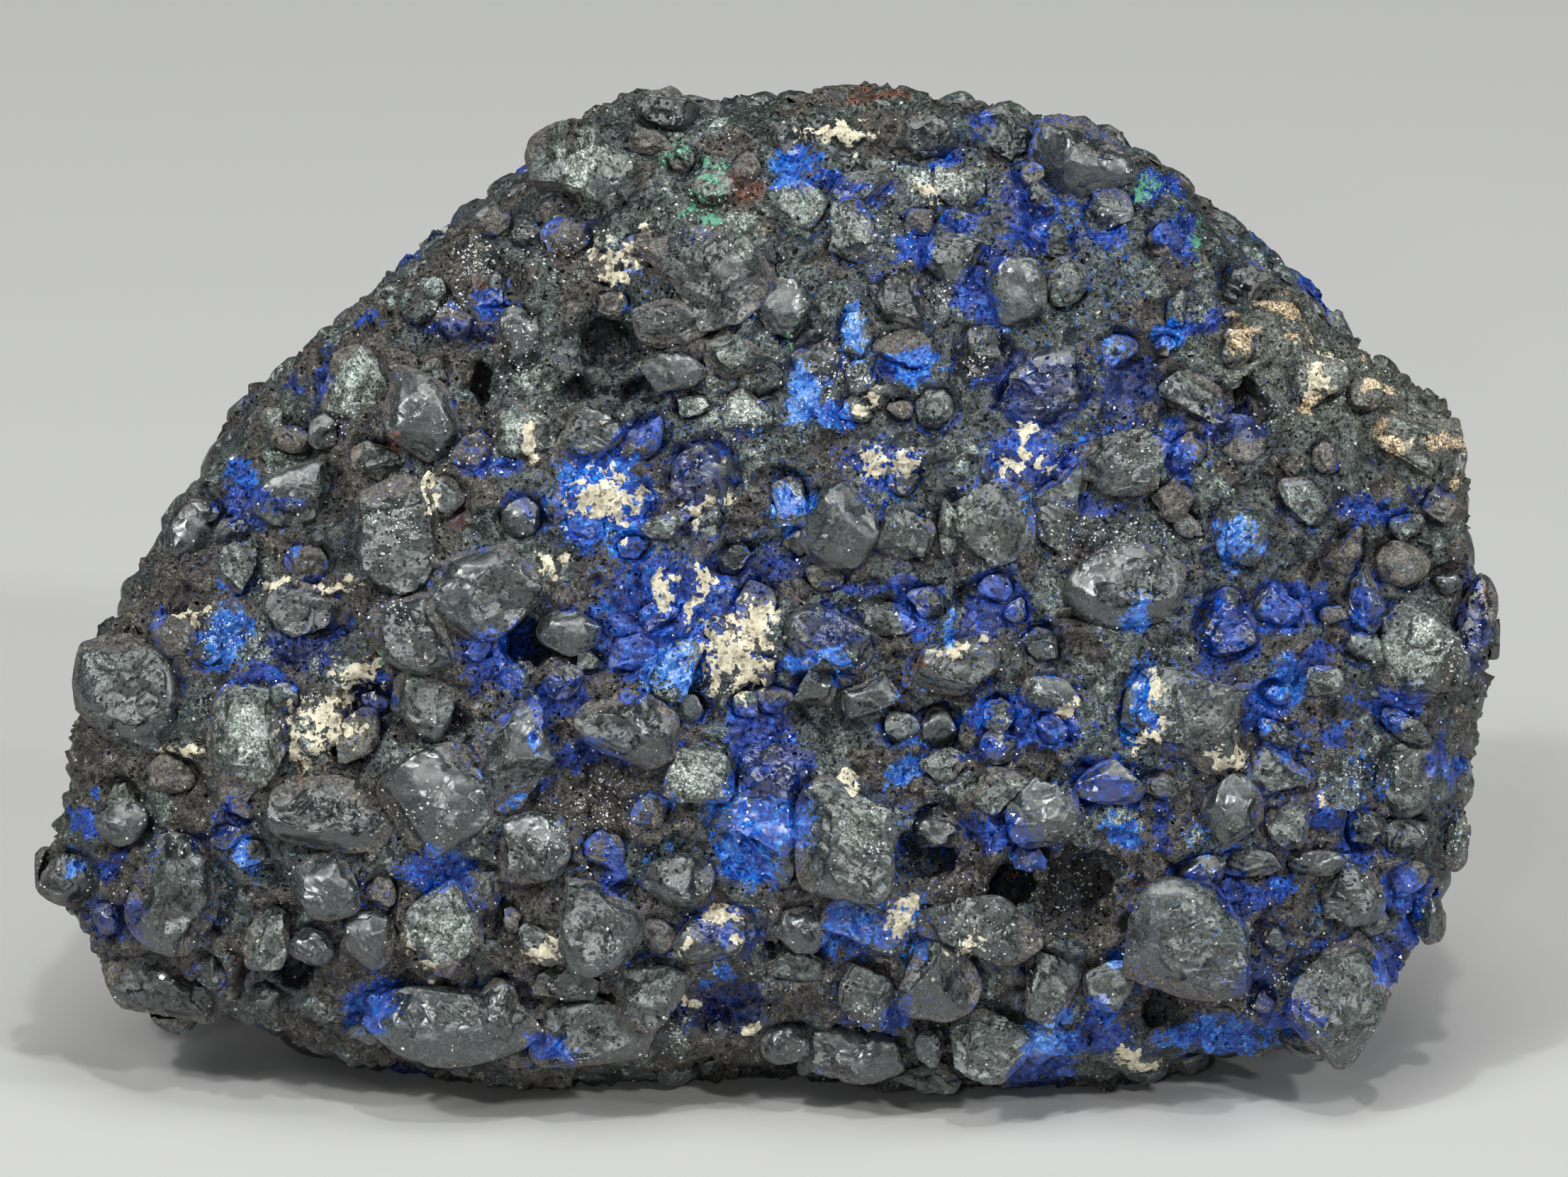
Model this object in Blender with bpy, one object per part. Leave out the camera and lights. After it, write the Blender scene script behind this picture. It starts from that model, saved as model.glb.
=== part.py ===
# A hand specimen of azurite: pebbles cemented in one block by black ore and azurite.
# The block is laid out as it is seen from the front, on a plane that leans back by LEAN:
# across (u), up that plane (v) and away behind it (w), and is then stood on its flat underside.
import math
import random

import bmesh
import bpy
from mathutils import Matrix, Vector, noise

MM = 0.001
WIDTH = 80 * MM                     # left tip to right tip
LEAN = math.radians(20)             # the broken face leans back by this much
FRONT_BULGE = 9 * MM                # how far the face swells in front of the rim
BACK_BULGE = 27 * MM                # how far the back would swell if it were not broken
FOOT_CENTRE = (-1 * MM, 13 * MM, 5 * MM)    # the thick part of the underside that it rests on
FOOT_HALVES = (25 * MM, 9 * MM, 7.5 * MM)
RIM_SHARPNESS = 3.2                 # how flat the face stays before it turns to the rim
BULGE_ROUNDNESS = 2.0
RIM_BAND = 2.6 * MM                 # how far in front of and behind the rim its bumps reach
SMOOTH_SPAN = 9                     # degrees over which the outline is evened out on the face
BACK_SPAN = 24                      # and on the back
LUMP_SIZE = 5 * MM
LUMP_HEIGHT = 1.0 * MM

# Places on the face are given in pixels of the reference picture, x to the right and y down.
TIP_LEFT, TIP_RIGHT = 49, 2116
CENTRE_X, CENTRE_Y = 1082, 850
FLOOR_Y = 1556
PIXEL = WIDTH / (TIP_RIGHT - TIP_LEFT)

# The rim, clockwise from the left tip.
RIM = [
    (49, 1227), (77, 1178), (116, 1096), (111, 1013), (128, 930), (128, 895), (184, 888),
    (197, 830), (242, 797), (251, 730), (290, 695), (358, 650), (362, 601), (404, 543),
    (420, 497), (489, 454), (549, 428), (585, 399), (647, 362), (681, 311), (754, 279),
    (776, 228), (799, 178), (850, 155), (893, 140), (940, 123), (995, 171), (1064, 159),
    (1139, 150), (1184, 124), (1273, 122), (1322, 152), (1387, 152), (1461, 178), (1522, 168),
    (1570, 198), (1637, 235), (1700, 286), (1718, 326), (1740, 359), (1793, 398), (1833, 426),
    (1895, 495), (1951, 521), (2014, 555), (2057, 600), (2073, 683), (2056, 778), (2099, 840),
    (2116, 885), (2092, 957), (2075, 1013), (2057, 1064), (2073, 1149), (2037, 1235),
    (2033, 1303), (1985, 1358), (1951, 1401), (1944, 1458), (1895, 1501), (1806, 1482),
    (1702, 1485), (1640, 1503), (1597, 1523), (1511, 1515), (1449, 1535), (1363, 1520),
    (1298, 1542), (1201, 1525), (1139, 1489), (1050, 1489), (943, 1513), (847, 1514),
    (785, 1529), (706, 1532), (642, 1501), (568, 1490), (499, 1488), (430, 1458), (349, 1427),
    (315, 1416), (259, 1450), (194, 1415), (159, 1378), (132, 1323), (94, 1285), (63, 1251),
]

# Pebbles on the face: x, y, half width, half height, turn in degrees, and how far the pebble
# stands out, as a share of its smaller half size.
PEBBLES = [
    (185, 975, 68, 86, 0, 0.6), (357, 1052, 58, 82, -10, 0.6), (95, 1235, 42, 38, 40, 0.4),
    (180, 1160, 36, 28, 0, 0.6), (258, 1255, 68, 80, 0, 0.5), (228, 1396, 76, 40, 25, 0.6),
    (385, 1325, 35, 45, 10, 0.7), (466, 1250, 47, 46, 0, 0.9), (523, 1316, 37, 42, 0, 0.8),
    (472, 1150, 80, 50, 5, 0.7), (449, 1332, 32, 24, 0, 0.6), (272, 755, 28, 38, 0, 0.5),
    (337, 800, 27, 33, 0, 0.8), (548, 752, 66, 75, 0, 0.7), (588, 888, 60, 52, 10, 0.9),
    (692, 838, 74, 64, 20, 0.6), (595, 990, 45, 50, 0, 0.6), (808, 890, 42, 30, 5, 0.5),
    (620, 1122, 72, 75, 0, 0.7), (735, 1060, 62, 72, 0, 0.6), (893, 1028, 72, 48, 22, 0.9),
    (985, 1092, 45, 44, 0, 0.8), (750, 1200, 52, 50, 0, 0.5), (630, 1308, 50, 62, 0, 0.9),
    (640, 1440, 112, 54, 5, 0.8), (715, 1425, 40, 45, 0, 0.6), (850, 1455, 88, 48, 0, 0.6),
    (918, 1395, 50, 50, 0, 0.6), (835, 1290, 65, 72, 0, 0.7), (765, 1332, 35, 20, 35, 0.6),
    (1018, 1312, 60, 36, 0, 0.5), (500, 548, 44, 52, 10, 0.6), (600, 588, 48, 68, -20, 0.7),
    (735, 612, 45, 38, 0, 0.6), (830, 620, 50, 38, 0, 0.5), (825, 235, 68, 78, -20, 0.7),
    (940, 156, 42, 30, 0, 0.6), (725, 480, 36, 40, 0, 0.5), (1000, 392, 92, 68, 8, 0.8),
    (950, 458, 50, 34, 10, 0.9), (1106, 440, 38, 42, 0, 0.5), (1035, 508, 42, 28, -5, 0.9),
    (945, 528, 44, 27, 10, 0.8), (1050, 582, 35, 32, 0, 0.6), (1130, 302, 36, 38, 0, 0.5),
    (1200, 328, 32, 40, 0, 0.6), (1210, 270, 50, 25, -20, 0.5), (1332, 262, 18, 26, 0, 0.8),
    (1368, 266, 18, 26, 0, 0.8), (1346, 364, 42, 34, 0, 0.5), (1425, 414, 42, 48, 0, 0.8),
    (1504, 395, 28, 36, 0, 0.7), (1265, 422, 36, 37, 0, 0.7), (1520, 228, 70, 55, 15, 0.7),
    (1418, 190, 40, 34, 0, 0.6), (1466, 548, 60, 52, 0, 0.5), (1582, 640, 74, 54, -15, 0.8),
    (1590, 830, 84, 56, 0, 0.6), (1345, 940, 56, 40, 0, 0.6), (1224, 980, 38, 22, -18, 0.6),
    (1172, 905, 58, 48, 0, 0.5), (1185, 745, 50, 58, 0, 0.6), (1268, 752, 42, 35, 15, 0.7),
    (1390, 735, 62, 58, 0, 0.7), (992, 672, 45, 48, 0, 0.3), (942, 742, 34, 16, -8, 0.9),
    (1480, 978, 40, 22, 10, 0.7), (1213, 1185, 80, 82, 0, 0.9), (1465, 1142, 47, 45, 0, 0.6),
    (1410, 1112, 38, 30, 0, 0.6), (1375, 1308, 82, 45, 8, 0.7), (1325, 1372, 54, 60, 0, 0.6),
    (1472, 1392, 42, 48, 0, 0.7), (1388, 1466, 60, 52, 0, 0.8), (1568, 1385, 38, 35, 0, 0.6),
    (1670, 1322, 88, 74, 15, 0.7), (1225, 1302, 58, 38, 0, 0.7), (1130, 1308, 35, 30, 0, 0.6),
    (1205, 1490, 62, 38, 5, 0.6), (1108, 1470, 32, 26, 0, 0.5), (1218, 1400, 38, 45, 0, 0.5),
    (1095, 1095, 46, 42, 0, 0.5), (1070, 1160, 60, 78, 0, 0.3), (957, 943, 38, 40, 0, 0.5),
    (1690, 1005, 80, 76, 0, 0.7), (1728, 1142, 44, 46, 0, 0.6), (1812, 1162, 28, 34, 0, 0.7),
    (1795, 1092, 42, 34, 15, 0.6), (1880, 1406, 66, 88, 5, 0.9), (1900, 1252, 45, 45, 0, 0.5),
    (1740, 750, 40, 43, 0, 0.6), (1833, 712, 26, 40, -35, 0.5), (1922, 850, 24, 46, -10, 0.5),
    (1728, 880, 42, 46, 0, 0.3), (1990, 920, 60, 70, 0, 0.5), (1755, 400, 34, 34, 0, 0.6),
    (1855, 535, 38, 38, 0, 0.5), (1980, 620, 60, 45, 20, 0.4), (2080, 870, 26, 54, 10, 0.5),
    (2045, 640, 20, 42, 0, 0.5), (1560, 1105, 45, 32, 0, 0.4), (960, 1230, 50, 40, 0, 0.4),
    (1490, 720, 34, 60, 10, 0.4), (420, 700, 60, 40, -30, 0.4), (440, 860, 55, 35, 0, 0.3),
    (1300, 200, 50, 30, 0, 0.4), (1680, 560, 50, 35, 20, 0.4), (1980, 1100, 40, 45, 0, 0.4),
]

# Pits between the pebbles: x, y, half width, half height and depth.
PITS = [
    (681, 536, 16, 28, 2.2 * MM), (860, 490, 40, 32, 1.8 * MM), (755, 915, 32, 28, 2.2 * MM),
    (1428, 1251, 34, 28, 4.0 * MM), (1515, 1262, 46, 48, 3.2 * MM), (1304, 1206, 38, 30, 1.8 * MM),
    (1754, 570, 14, 26, 2.5 * MM), (421, 1370, 26, 26, 2.0 * MM), (1019, 1412, 60, 30, 2.5 * MM),
    (1420, 415, 15, 14, 1.6 * MM), (1640, 1424, 30, 28, 2.4 * MM), (850, 555, 60, 16, 1.6 * MM),
    (1130, 1030, 60, 30, 1.6 * MM), (1085, 800, 50, 30, 1.5 * MM), (855, 1125, 40, 45, 1.6 * MM),
    (525, 985, 24, 30, 2.0 * MM), (1325, 1035, 40, 25, 1.2 * MM), (992, 660, 30, 30, 1.6 * MM),
]

# Broken sides of the back: direction on the leaning plane (u, v, w) and distance from its centre.
BREAKS = [
    ((0.45, 0.35, 0.82), 23.5 * MM), ((-0.50, 0.30, 0.81), 23.5 * MM),
    ((0.00, 0.00, 1.00), 22.0 * MM), ((0.20, -0.60, 0.77), 27.0 * MM),
    ((0.10, 0.85, 0.52), 24.5 * MM), ((0.75, 0.00, 0.66), 31.5 * MM),
    ((-0.75, -0.10, 0.65), 31.0 * MM), ((-0.30, -0.45, 0.84), 25.5 * MM),
]
BREAK_FLATNESS = 0.9                # 1 would leave a break perfectly flat

SEED = 7
STAND_OUT = 1.2                     # how boldly all the pebbles of the face stand out of it
RIM_PEBBLES = 64                    # small pebbles set round the rim, beside those of the face
RIM_PEBBLE_SIZE = (1.3 * MM, 2.4 * MM)
FILL_PEBBLES = 170                  # smaller pebbles of the face, packed between the others
FILL_PEBBLE_SIZE = (0.7 * MM, 1.5 * MM)
BACK_PEBBLES = 150                  # pebbles on the hidden sides
BACK_PEBBLE_SIZE = (1.3 * MM, 3.8 * MM)
BACK_SPACING = 0.78                 # how close their centres may come, in sums of half sizes
FACET_CHANCE = 0.4                  # this share of all pebbles has a broken, flat side
VOXEL = 0.42 * MM                   # grain of the mesh in which the pebbles and body grow together
TRIANGLES = 9500
CUT_SNAP = 0.12 * MM                # points of the cut edge closer than this become one


def outline_radius():
    """Distance from the centre of the face to the rim, for each degree."""
    corners = []
    for x, y in RIM:
        u = (x - CENTRE_X) * PIXEL
        v = (CENTRE_Y - y) * PIXEL
        corners.append((math.atan2(v, u) % math.tau, math.hypot(u, v)))
    corners.sort()
    corners = [(corners[-1][0] - math.tau, corners[-1][1])] + corners
    corners.append((corners[1][0] + math.tau, corners[1][1]))
    plain = []
    for degree in range(360):
        angle = math.radians(degree)
        for (a0, r0), (a1, r1) in zip(corners, corners[1:]):
            if a0 <= angle <= a1:
                plain.append(r0 + (r1 - r0) * (angle - a0) / max(a1 - a0, 1e-9))
                break
    return plain


def evened_out(plain, reach):
    """The same distances, each the mean of those within reach degrees of it."""
    even = []
    for degree in range(360):
        near = [plain[(degree + step) % 360] for step in range(-reach, reach + 1)]
        even.append(sum(near) / len(near))
    return even


PLAIN_RADIUS = outline_radius()
FACE_RADIUS = evened_out(PLAIN_RADIUS, SMOOTH_SPAN)
BACK_RADIUS = evened_out(PLAIN_RADIUS, BACK_SPAN)


def radius_at(table, angle):
    """Read one of the radius tables at any angle."""
    place = math.degrees(angle) % 360
    low = int(place) % 360
    return table[low] + (table[(low + 1) % 360] - table[low]) * (place - int(place))


def body_point(angle, rise):
    """A point of the body: angle round the face, rise from the rim (0) to a pole (+-90 degrees)."""
    bulge = BACK_BULGE if rise > 0 else FRONT_BULGE
    w = math.copysign(bulge * abs(math.sin(rise)) ** (2 / BULGE_ROUNDNESS), rise)
    band = math.exp(-(w / RIM_BAND) ** 2)
    plain = radius_at(PLAIN_RADIUS, angle)
    even = radius_at(BACK_RADIUS if rise > 0 else FACE_RADIUS, angle)
    reach = (band * plain + (1 - band) * even) * math.cos(rise) ** (2 / RIM_SHARPNESS)
    point = Vector((reach * math.cos(angle), reach * math.sin(angle), w))
    for direction, distance in BREAKS:
        way = Vector(direction).normalized()
        proud = point.dot(way) - distance
        if proud > 0:
            point -= way * proud * BREAK_FLATNESS
    return point


def face_depth(u, v):
    """Depth of the body's front at a place on the face."""
    share = math.hypot(u, v) / radius_at(FACE_RADIUS, math.atan2(v, u))
    return -FRONT_BULGE * max(1 - share ** RIM_SHARPNESS, 0) ** (1 / BULGE_ROUNDNESS)


def stand_up(point):
    """Turn a place on the leaning face (u, v, w) into the standing frame."""
    v = point.y + (FLOOR_Y - CENTRE_Y) * PIXEL
    return Vector((
        point.x,
        v * math.sin(LEAN) + point.z * math.cos(LEAN),
        v * math.cos(LEAN) - point.z * math.sin(LEAN),
    ))


def add_body(bm):
    """The cemented block without its pebbles, with lumps and pits in its surface."""
    ball = bmesh.ops.create_icosphere(bm, subdivisions=6, radius=1)
    for vert in ball["verts"]:
        outward = vert.co.normalized()
        rise = math.asin(outward.z)
        point = body_point(math.atan2(outward.y, outward.x), rise)
        lump = noise.noise(point / LUMP_SIZE) + 0.5 * noise.noise(point / (0.45 * LUMP_SIZE))
        point += outward * lump * LUMP_HEIGHT * abs(outward.z)
        if rise < 0:
            for x, y, wide, high, depth in PITS:
                du = (point.x / PIXEL + CENTRE_X - x) / wide
                dv = (CENTRE_Y - point.y / PIXEL - y) / high
                point.z += depth * math.exp(-(du * du + dv * dv) ** 1.5)
        vert.co = stand_up(point)


def add_foot(bm):
    """The thick part of the underside, which the flat resting face is cut from."""
    ball = bmesh.ops.create_icosphere(bm, subdivisions=5, radius=1)
    for vert in ball["verts"]:
        vert.co *= 1 + 0.1 * noise.noise(vert.co * 2)
    bmesh.ops.scale(bm, vec=FOOT_HALVES, verts=ball["verts"])
    bmesh.ops.translate(bm, vec=FOOT_CENTRE, verts=ball["verts"])


def add_pebble(bm, centre, normal, halves, turn, dice):
    """One pebble: a lumpy ellipsoid, its short axis along normal, sometimes with a broken side."""
    ball = bmesh.ops.create_icosphere(bm, subdivisions=3, radius=1)
    verts = ball["verts"]
    shift = Vector((dice.uniform(0, 90), dice.uniform(0, 90), dice.uniform(0, 90)))
    for vert in verts:
        vert.co *= 1 + 0.13 * noise.noise(vert.co * 1.2 + shift)
    if dice.random() < FACET_CHANCE:
        tilt = Vector((dice.uniform(-0.7, 0.7), dice.uniform(-0.7, 0.7), 1)).normalized()
        facet = dice.uniform(0.62, 0.8)
        for vert in verts:
            proud = vert.co.dot(tilt) - facet
            if proud > 0:
                vert.co -= tilt * proud * 0.9
    bmesh.ops.scale(bm, vec=halves, verts=verts)
    bmesh.ops.rotate(bm, verts=verts, matrix=Matrix.Rotation(turn, 3, "Z"))
    bmesh.ops.rotate(bm, verts=verts, matrix=normal.to_track_quat("Z", "Y").to_matrix())
    for vert in verts:
        vert.co = stand_up(vert.co + centre)


def add_face_pebbles(bm, dice):
    """The pebbles of the broken face, each where the picture shows it."""
    for x, y, wide, high, turn, proud in PEBBLES:
        u = (x - CENTRE_X) * PIXEL
        v = (CENTRE_Y - y) * PIXEL
        small = min(wide, high) * PIXEL
        deep = small * 0.9
        centre = Vector((u, v, face_depth(u, v) + deep - proud * small * STAND_OUT))
        halves = Vector((wide * PIXEL, high * PIXEL, deep))
        add_pebble(bm, centre, Vector((0, 0, 1)), halves, -math.radians(turn), dice)


def add_fill_pebbles(bm, dice):
    """Smaller pebbles packed in the matrix of the face, clear of the others and of the pits."""
    taken = []
    for x, y, wide, high in [row[:4] for row in PEBBLES + PITS]:
        place = ((x - CENTRE_X) * PIXEL, (CENTRE_Y - y) * PIXEL)
        taken.append((place, 0.85 * (wide + high) / 2 * PIXEL))
    placed = 0
    tries = 0
    while placed < FILL_PEBBLES and tries < 9000:
        tries += 1
        angle = dice.uniform(0, math.tau)
        reach = radius_at(FACE_RADIUS, angle) * math.sqrt(dice.uniform(0, 0.9))
        place = (reach * math.cos(angle), reach * math.sin(angle))
        size = dice.uniform(*FILL_PEBBLE_SIZE)
        if any(math.dist(place, other) < 0.9 * size + far for other, far in taken):
            continue
        taken.append((place, size))
        placed += 1
        centre = Vector((*place, face_depth(*place) + size * dice.uniform(-0.1, 0.4)))
        halves = Vector((size, size * dice.uniform(0.6, 0.95), size * 0.8))
        add_pebble(bm, centre, Vector((0, 0, 1)), halves, dice.uniform(0, math.pi), dice)


def add_rim_pebbles(bm, dice):
    """Small pebbles set round the rim, their outer sides on it."""
    for number in range(RIM_PEBBLES):
        angle = math.tau * (number + dice.uniform(-0.3, 0.3)) / RIM_PEBBLES
        size = dice.uniform(*RIM_PEBBLE_SIZE)
        rise = dice.uniform(-0.25, 0.35)
        point = body_point(angle, rise)
        inward = Vector((-math.cos(angle), -math.sin(angle), 0)) * size * 0.85
        halves = Vector((size, size * dice.uniform(0.75, 0.95), size * dice.uniform(0.8, 1)))
        add_pebble(bm, point + inward, Vector((0, 0, 1)), halves, dice.uniform(0, math.pi), dice)


def add_back_pebbles(bm, dice):
    """Pebbles on the back, the sides and the underside, spread so that few of them meet."""
    placed = []
    tries = 0
    while len(placed) < BACK_PEBBLES and tries < 4000:
        tries += 1
        rise = math.asin(dice.uniform(0.28, 1))
        angle = dice.uniform(0, math.tau)
        size = dice.uniform(*BACK_PEBBLE_SIZE)
        point = body_point(angle, rise)
        if any((point - other).length < BACK_SPACING * (size + far) for other, far in placed):
            continue
        placed.append((point, size))
        across = body_point(angle + 0.02, rise) - body_point(angle - 0.02, rise)
        along = body_point(angle, min(rise + 0.02, 1.57)) - body_point(angle, rise - 0.02)
        normal = across.cross(along).normalized()
        halves = Vector((size, size * dice.uniform(0.7, 0.95), size * dice.uniform(0.6, 0.8)))
        centre = point - normal * halves.z * 0.45
        add_pebble(bm, centre, normal, halves, dice.uniform(0, math.pi), dice)


def grown_together(bm):
    """One skin round the body and every pebble, thinned to the triangles that its form needs."""
    mesh = bpy.data.meshes.new("grown")
    bm.to_mesh(mesh)
    bm.free()
    lump = bpy.data.objects.new("grown", mesh)
    bpy.context.collection.objects.link(lump)
    skin = lump.modifiers.new("skin", "REMESH")
    skin.mode = "VOXEL"
    skin.voxel_size = VOXEL
    graph = bpy.context.evaluated_depsgraph_get()
    faces = len(lump.evaluated_get(graph).data.polygons)
    thin = lump.modifiers.new("thin", "DECIMATE")
    thin.ratio = TRIANGLES / (2 * faces)
    thin.use_collapse_triangulate = True
    graph = bpy.context.evaluated_depsgraph_get()
    result = bmesh.new()
    result.from_mesh(lump.evaluated_get(graph).data)
    bpy.data.objects.remove(lump)
    bpy.data.meshes.remove(mesh)
    return result


def cut_underside(bm):
    """Cut the block flat where it rests, and close the cut."""
    everything = bm.verts[:] + bm.edges[:] + bm.faces[:]
    cut = bmesh.ops.bisect_plane(
        bm, geom=everything, dist=1e-6, plane_co=(0, 0, 0), plane_no=(0, 0, 1), clear_inner=True
    )
    border = [item for item in cut["geom_cut"] if isinstance(item, bmesh.types.BMVert)]
    for vert in border:
        vert.co.z = 0
    bmesh.ops.remove_doubles(bm, verts=border, dist=CUT_SNAP)
    bmesh.ops.dissolve_degenerate(bm, dist=1e-6, edges=bm.edges[:])
    open_edges = [edge for edge in bm.edges if edge.is_boundary]
    bmesh.ops.holes_fill(bm, edges=open_edges, sides=0)
    bmesh.ops.triangulate(bm, faces=bm.faces[:])
    bmesh.ops.recalc_face_normals(bm, faces=bm.faces[:])


def keep_largest(bm):
    """Drop any crumb that the thinning parted from the block."""
    left = set(bm.verts)
    groups = []
    while left:
        group = set()
        queue = [left.pop()]
        while queue:
            vert = queue.pop()
            group.add(vert)
            for edge in vert.link_edges:
                other = edge.other_vert(vert)
                if other in left:
                    left.discard(other)
                    queue.append(other)
        groups.append(group)
    groups.sort(key=len)
    for group in groups[:-1]:
        bmesh.ops.delete(bm, geom=list(group), context="VERTS")


def ore_material():
    """Dark pebbles in black ore, between dull stone and glassy slag, with some blue in it."""
    material = bpy.data.materials.new("blue_veined_ore")
    material.use_nodes = True
    shader = material.node_tree.nodes["Principled BSDF"]
    shader.inputs["Base Color"].default_value = (0.035, 0.045, 0.09, 1)
    shader.inputs["Roughness"].default_value = 0.5
    shader.inputs["Metallic"].default_value = 0
    return material


def build_specimen():
    """The whole specimen: one cemented piece."""
    dice = random.Random(SEED)
    bm = bmesh.new()
    add_body(bm)
    add_foot(bm)
    add_face_pebbles(bm, dice)
    add_fill_pebbles(bm, dice)
    add_rim_pebbles(bm, dice)
    add_back_pebbles(bm, dice)
    block = grown_together(bm)
    cut_underside(block)
    keep_largest(block)
    low = min(vert.co.y for vert in block.verts)
    high = max(vert.co.y for vert in block.verts)
    left = min(vert.co.x for vert in block.verts)
    right = max(vert.co.x for vert in block.verts)
    middle = Vector(((left + right) / 2, (low + high) / 2, 0))
    bmesh.ops.translate(block, vec=-middle, verts=block.verts[:])
    mesh = bpy.data.meshes.new("azurite_specimen")
    block.to_mesh(mesh)
    block.free()
    mesh.materials.append(ore_material())
    specimen = bpy.data.objects.new("azurite_specimen", mesh)
    bpy.context.collection.objects.link(specimen)
    specimen.location = (0, 0, 0)
    print("triangles", len(mesh.polygons), "centre shift in mm", [round(c / MM, 3) for c in middle])


for old in list(bpy.data.objects):
    bpy.data.objects.remove(old)
build_specimen()
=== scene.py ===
import math
import random

import bmesh
import bpy
import numpy as np
from mathutils import Matrix, Vector
from mathutils.bvhtree import BVHTree


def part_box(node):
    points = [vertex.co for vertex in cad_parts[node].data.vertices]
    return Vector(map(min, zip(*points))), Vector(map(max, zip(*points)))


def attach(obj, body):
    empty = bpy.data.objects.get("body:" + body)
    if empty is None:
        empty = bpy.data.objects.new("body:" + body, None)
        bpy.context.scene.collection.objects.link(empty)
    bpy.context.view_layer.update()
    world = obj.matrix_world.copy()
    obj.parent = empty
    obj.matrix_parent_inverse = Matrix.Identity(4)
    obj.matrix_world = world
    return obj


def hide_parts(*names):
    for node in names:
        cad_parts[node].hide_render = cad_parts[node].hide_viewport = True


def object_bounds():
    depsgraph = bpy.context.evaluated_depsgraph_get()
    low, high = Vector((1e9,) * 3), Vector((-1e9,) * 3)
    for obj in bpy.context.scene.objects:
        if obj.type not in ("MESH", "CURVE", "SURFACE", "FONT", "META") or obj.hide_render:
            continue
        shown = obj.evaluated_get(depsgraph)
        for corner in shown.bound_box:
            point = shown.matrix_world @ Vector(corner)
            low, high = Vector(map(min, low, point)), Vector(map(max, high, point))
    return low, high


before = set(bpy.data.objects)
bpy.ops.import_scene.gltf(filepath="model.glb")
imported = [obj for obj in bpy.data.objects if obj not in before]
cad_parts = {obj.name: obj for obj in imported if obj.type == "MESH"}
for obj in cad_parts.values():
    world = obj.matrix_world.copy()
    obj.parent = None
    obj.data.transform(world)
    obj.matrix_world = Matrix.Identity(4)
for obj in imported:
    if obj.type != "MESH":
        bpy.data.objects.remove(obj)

cad_low, cad_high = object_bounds()


# The place of the specimen's broken face. It leans back, so that the picture looks straight at
# it: a pixel gives a place across and up the face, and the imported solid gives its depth. The
# scale is that of the solid, whose two tips are seen at the left and right of the picture.
LEAN = math.radians(20)
TIP_LEFT = 49
TIP_RIGHT = 2116
FLOOR_ROW = 1556
RIM_SETBACK = 0.1514                # the rim's plane meets the floor this share of the depth in

low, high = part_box("azurite_specimen")
PIXEL = (high.x - low.x) / (TIP_RIGHT - TIP_LEFT)
RIM_FOOT = low.y + RIM_SETBACK * (high.y - low.y)
AWAY = Vector((0, math.cos(LEAN), -math.sin(LEAN)))
UP_FACE = Vector((0, math.sin(LEAN), math.cos(LEAN)))
MM = 0.001


cad_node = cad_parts["azurite_specimen"]
solid = bmesh.new()
solid.from_mesh(cad_node.data)
bmesh.ops.remove_doubles(solid, verts=solid.verts[:], dist=1e-6)
solid_tree = BVHTree.FromBMesh(solid)


def on_face(x, y, depth=0.0):
    """The point at a pixel of the picture, depth behind the rim's plane."""
    across = Vector((low.x + (x - TIP_LEFT) * PIXEL, RIM_FOOT, 0))
    return across + UP_FACE * (FLOOR_ROW - y) * PIXEL + AWAY * depth


def picture_places(points):
    """For an array of points: pixel column, pixel row and depth behind the rim's plane."""
    x = (points[:, 0] - low.x) / PIXEL + TIP_LEFT
    lifted = points - np.array((0, RIM_FOOT, 0))
    y = FLOOR_ROW - lifted @ np.array(UP_FACE) / PIXEL
    return x, y, lifted @ np.array(AWAY)


def face_hit(x, y):
    """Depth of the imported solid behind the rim's plane at a pixel, or None beside it."""
    start = on_face(x, y, -60 * MM)
    place, _, _, distance = solid_tree.ray_cast(start, AWAY)
    return None if place is None else distance - 60 * MM


# The camera looks squarely at the leaning face from far off through a long lens, and takes in
# the whole picture.
PICTURE_WIDTH = 2212
PICTURE_HEIGHT = 1660
CAMERA_DISTANCE = 0.9
SENSOR = 36


def add_object(name, data):
    """An object with this data, in the scene."""
    made = bpy.data.objects.new(name, data)
    bpy.context.collection.objects.link(made)
    return made


camera_data = bpy.data.cameras.new("camera")
camera_data.sensor_width = SENSOR
camera_data.lens = SENSOR * CAMERA_DISTANCE / (PICTURE_WIDTH * PIXEL)
camera_data.clip_start = 0.01
camera = add_object("camera", camera_data)
camera.location = on_face(PICTURE_WIDTH / 2, PICTURE_HEIGHT / 2, -CAMERA_DISTANCE)
camera.rotation_euler = (math.radians(90) - LEAN, 0, 0)
bpy.context.scene.camera = camera
bpy.context.scene.view_settings.view_transform = "Standard"


# The floor is a wide plain pale sheet under studio light: broad lamps on the left, above and
# behind, and small strong ones around the front whose reflections glint in the crystals.
FLOOR_SIZE = 3.0
FLOOR_COLOUR = (0.55, 0.54, 0.535, 1)

bm = bmesh.new()
bmesh.ops.create_grid(bm, x_segments=8, y_segments=8, size=FLOOR_SIZE / 2)
floor_mesh = bpy.data.meshes.new("floor")
bm.to_mesh(floor_mesh)
bm.free()
floor = add_object("floor", floor_mesh)
floor_paint = bpy.data.materials.new("floor_paper")
floor_paint.use_nodes = True
floor_shader = floor_paint.node_tree.nodes["Principled BSDF"]
floor_shader.inputs["Base Color"].default_value = FLOOR_COLOUR
floor_shader.inputs["Roughness"].default_value = 0.75
floor_mesh.materials.append(floor_paint)

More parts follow.
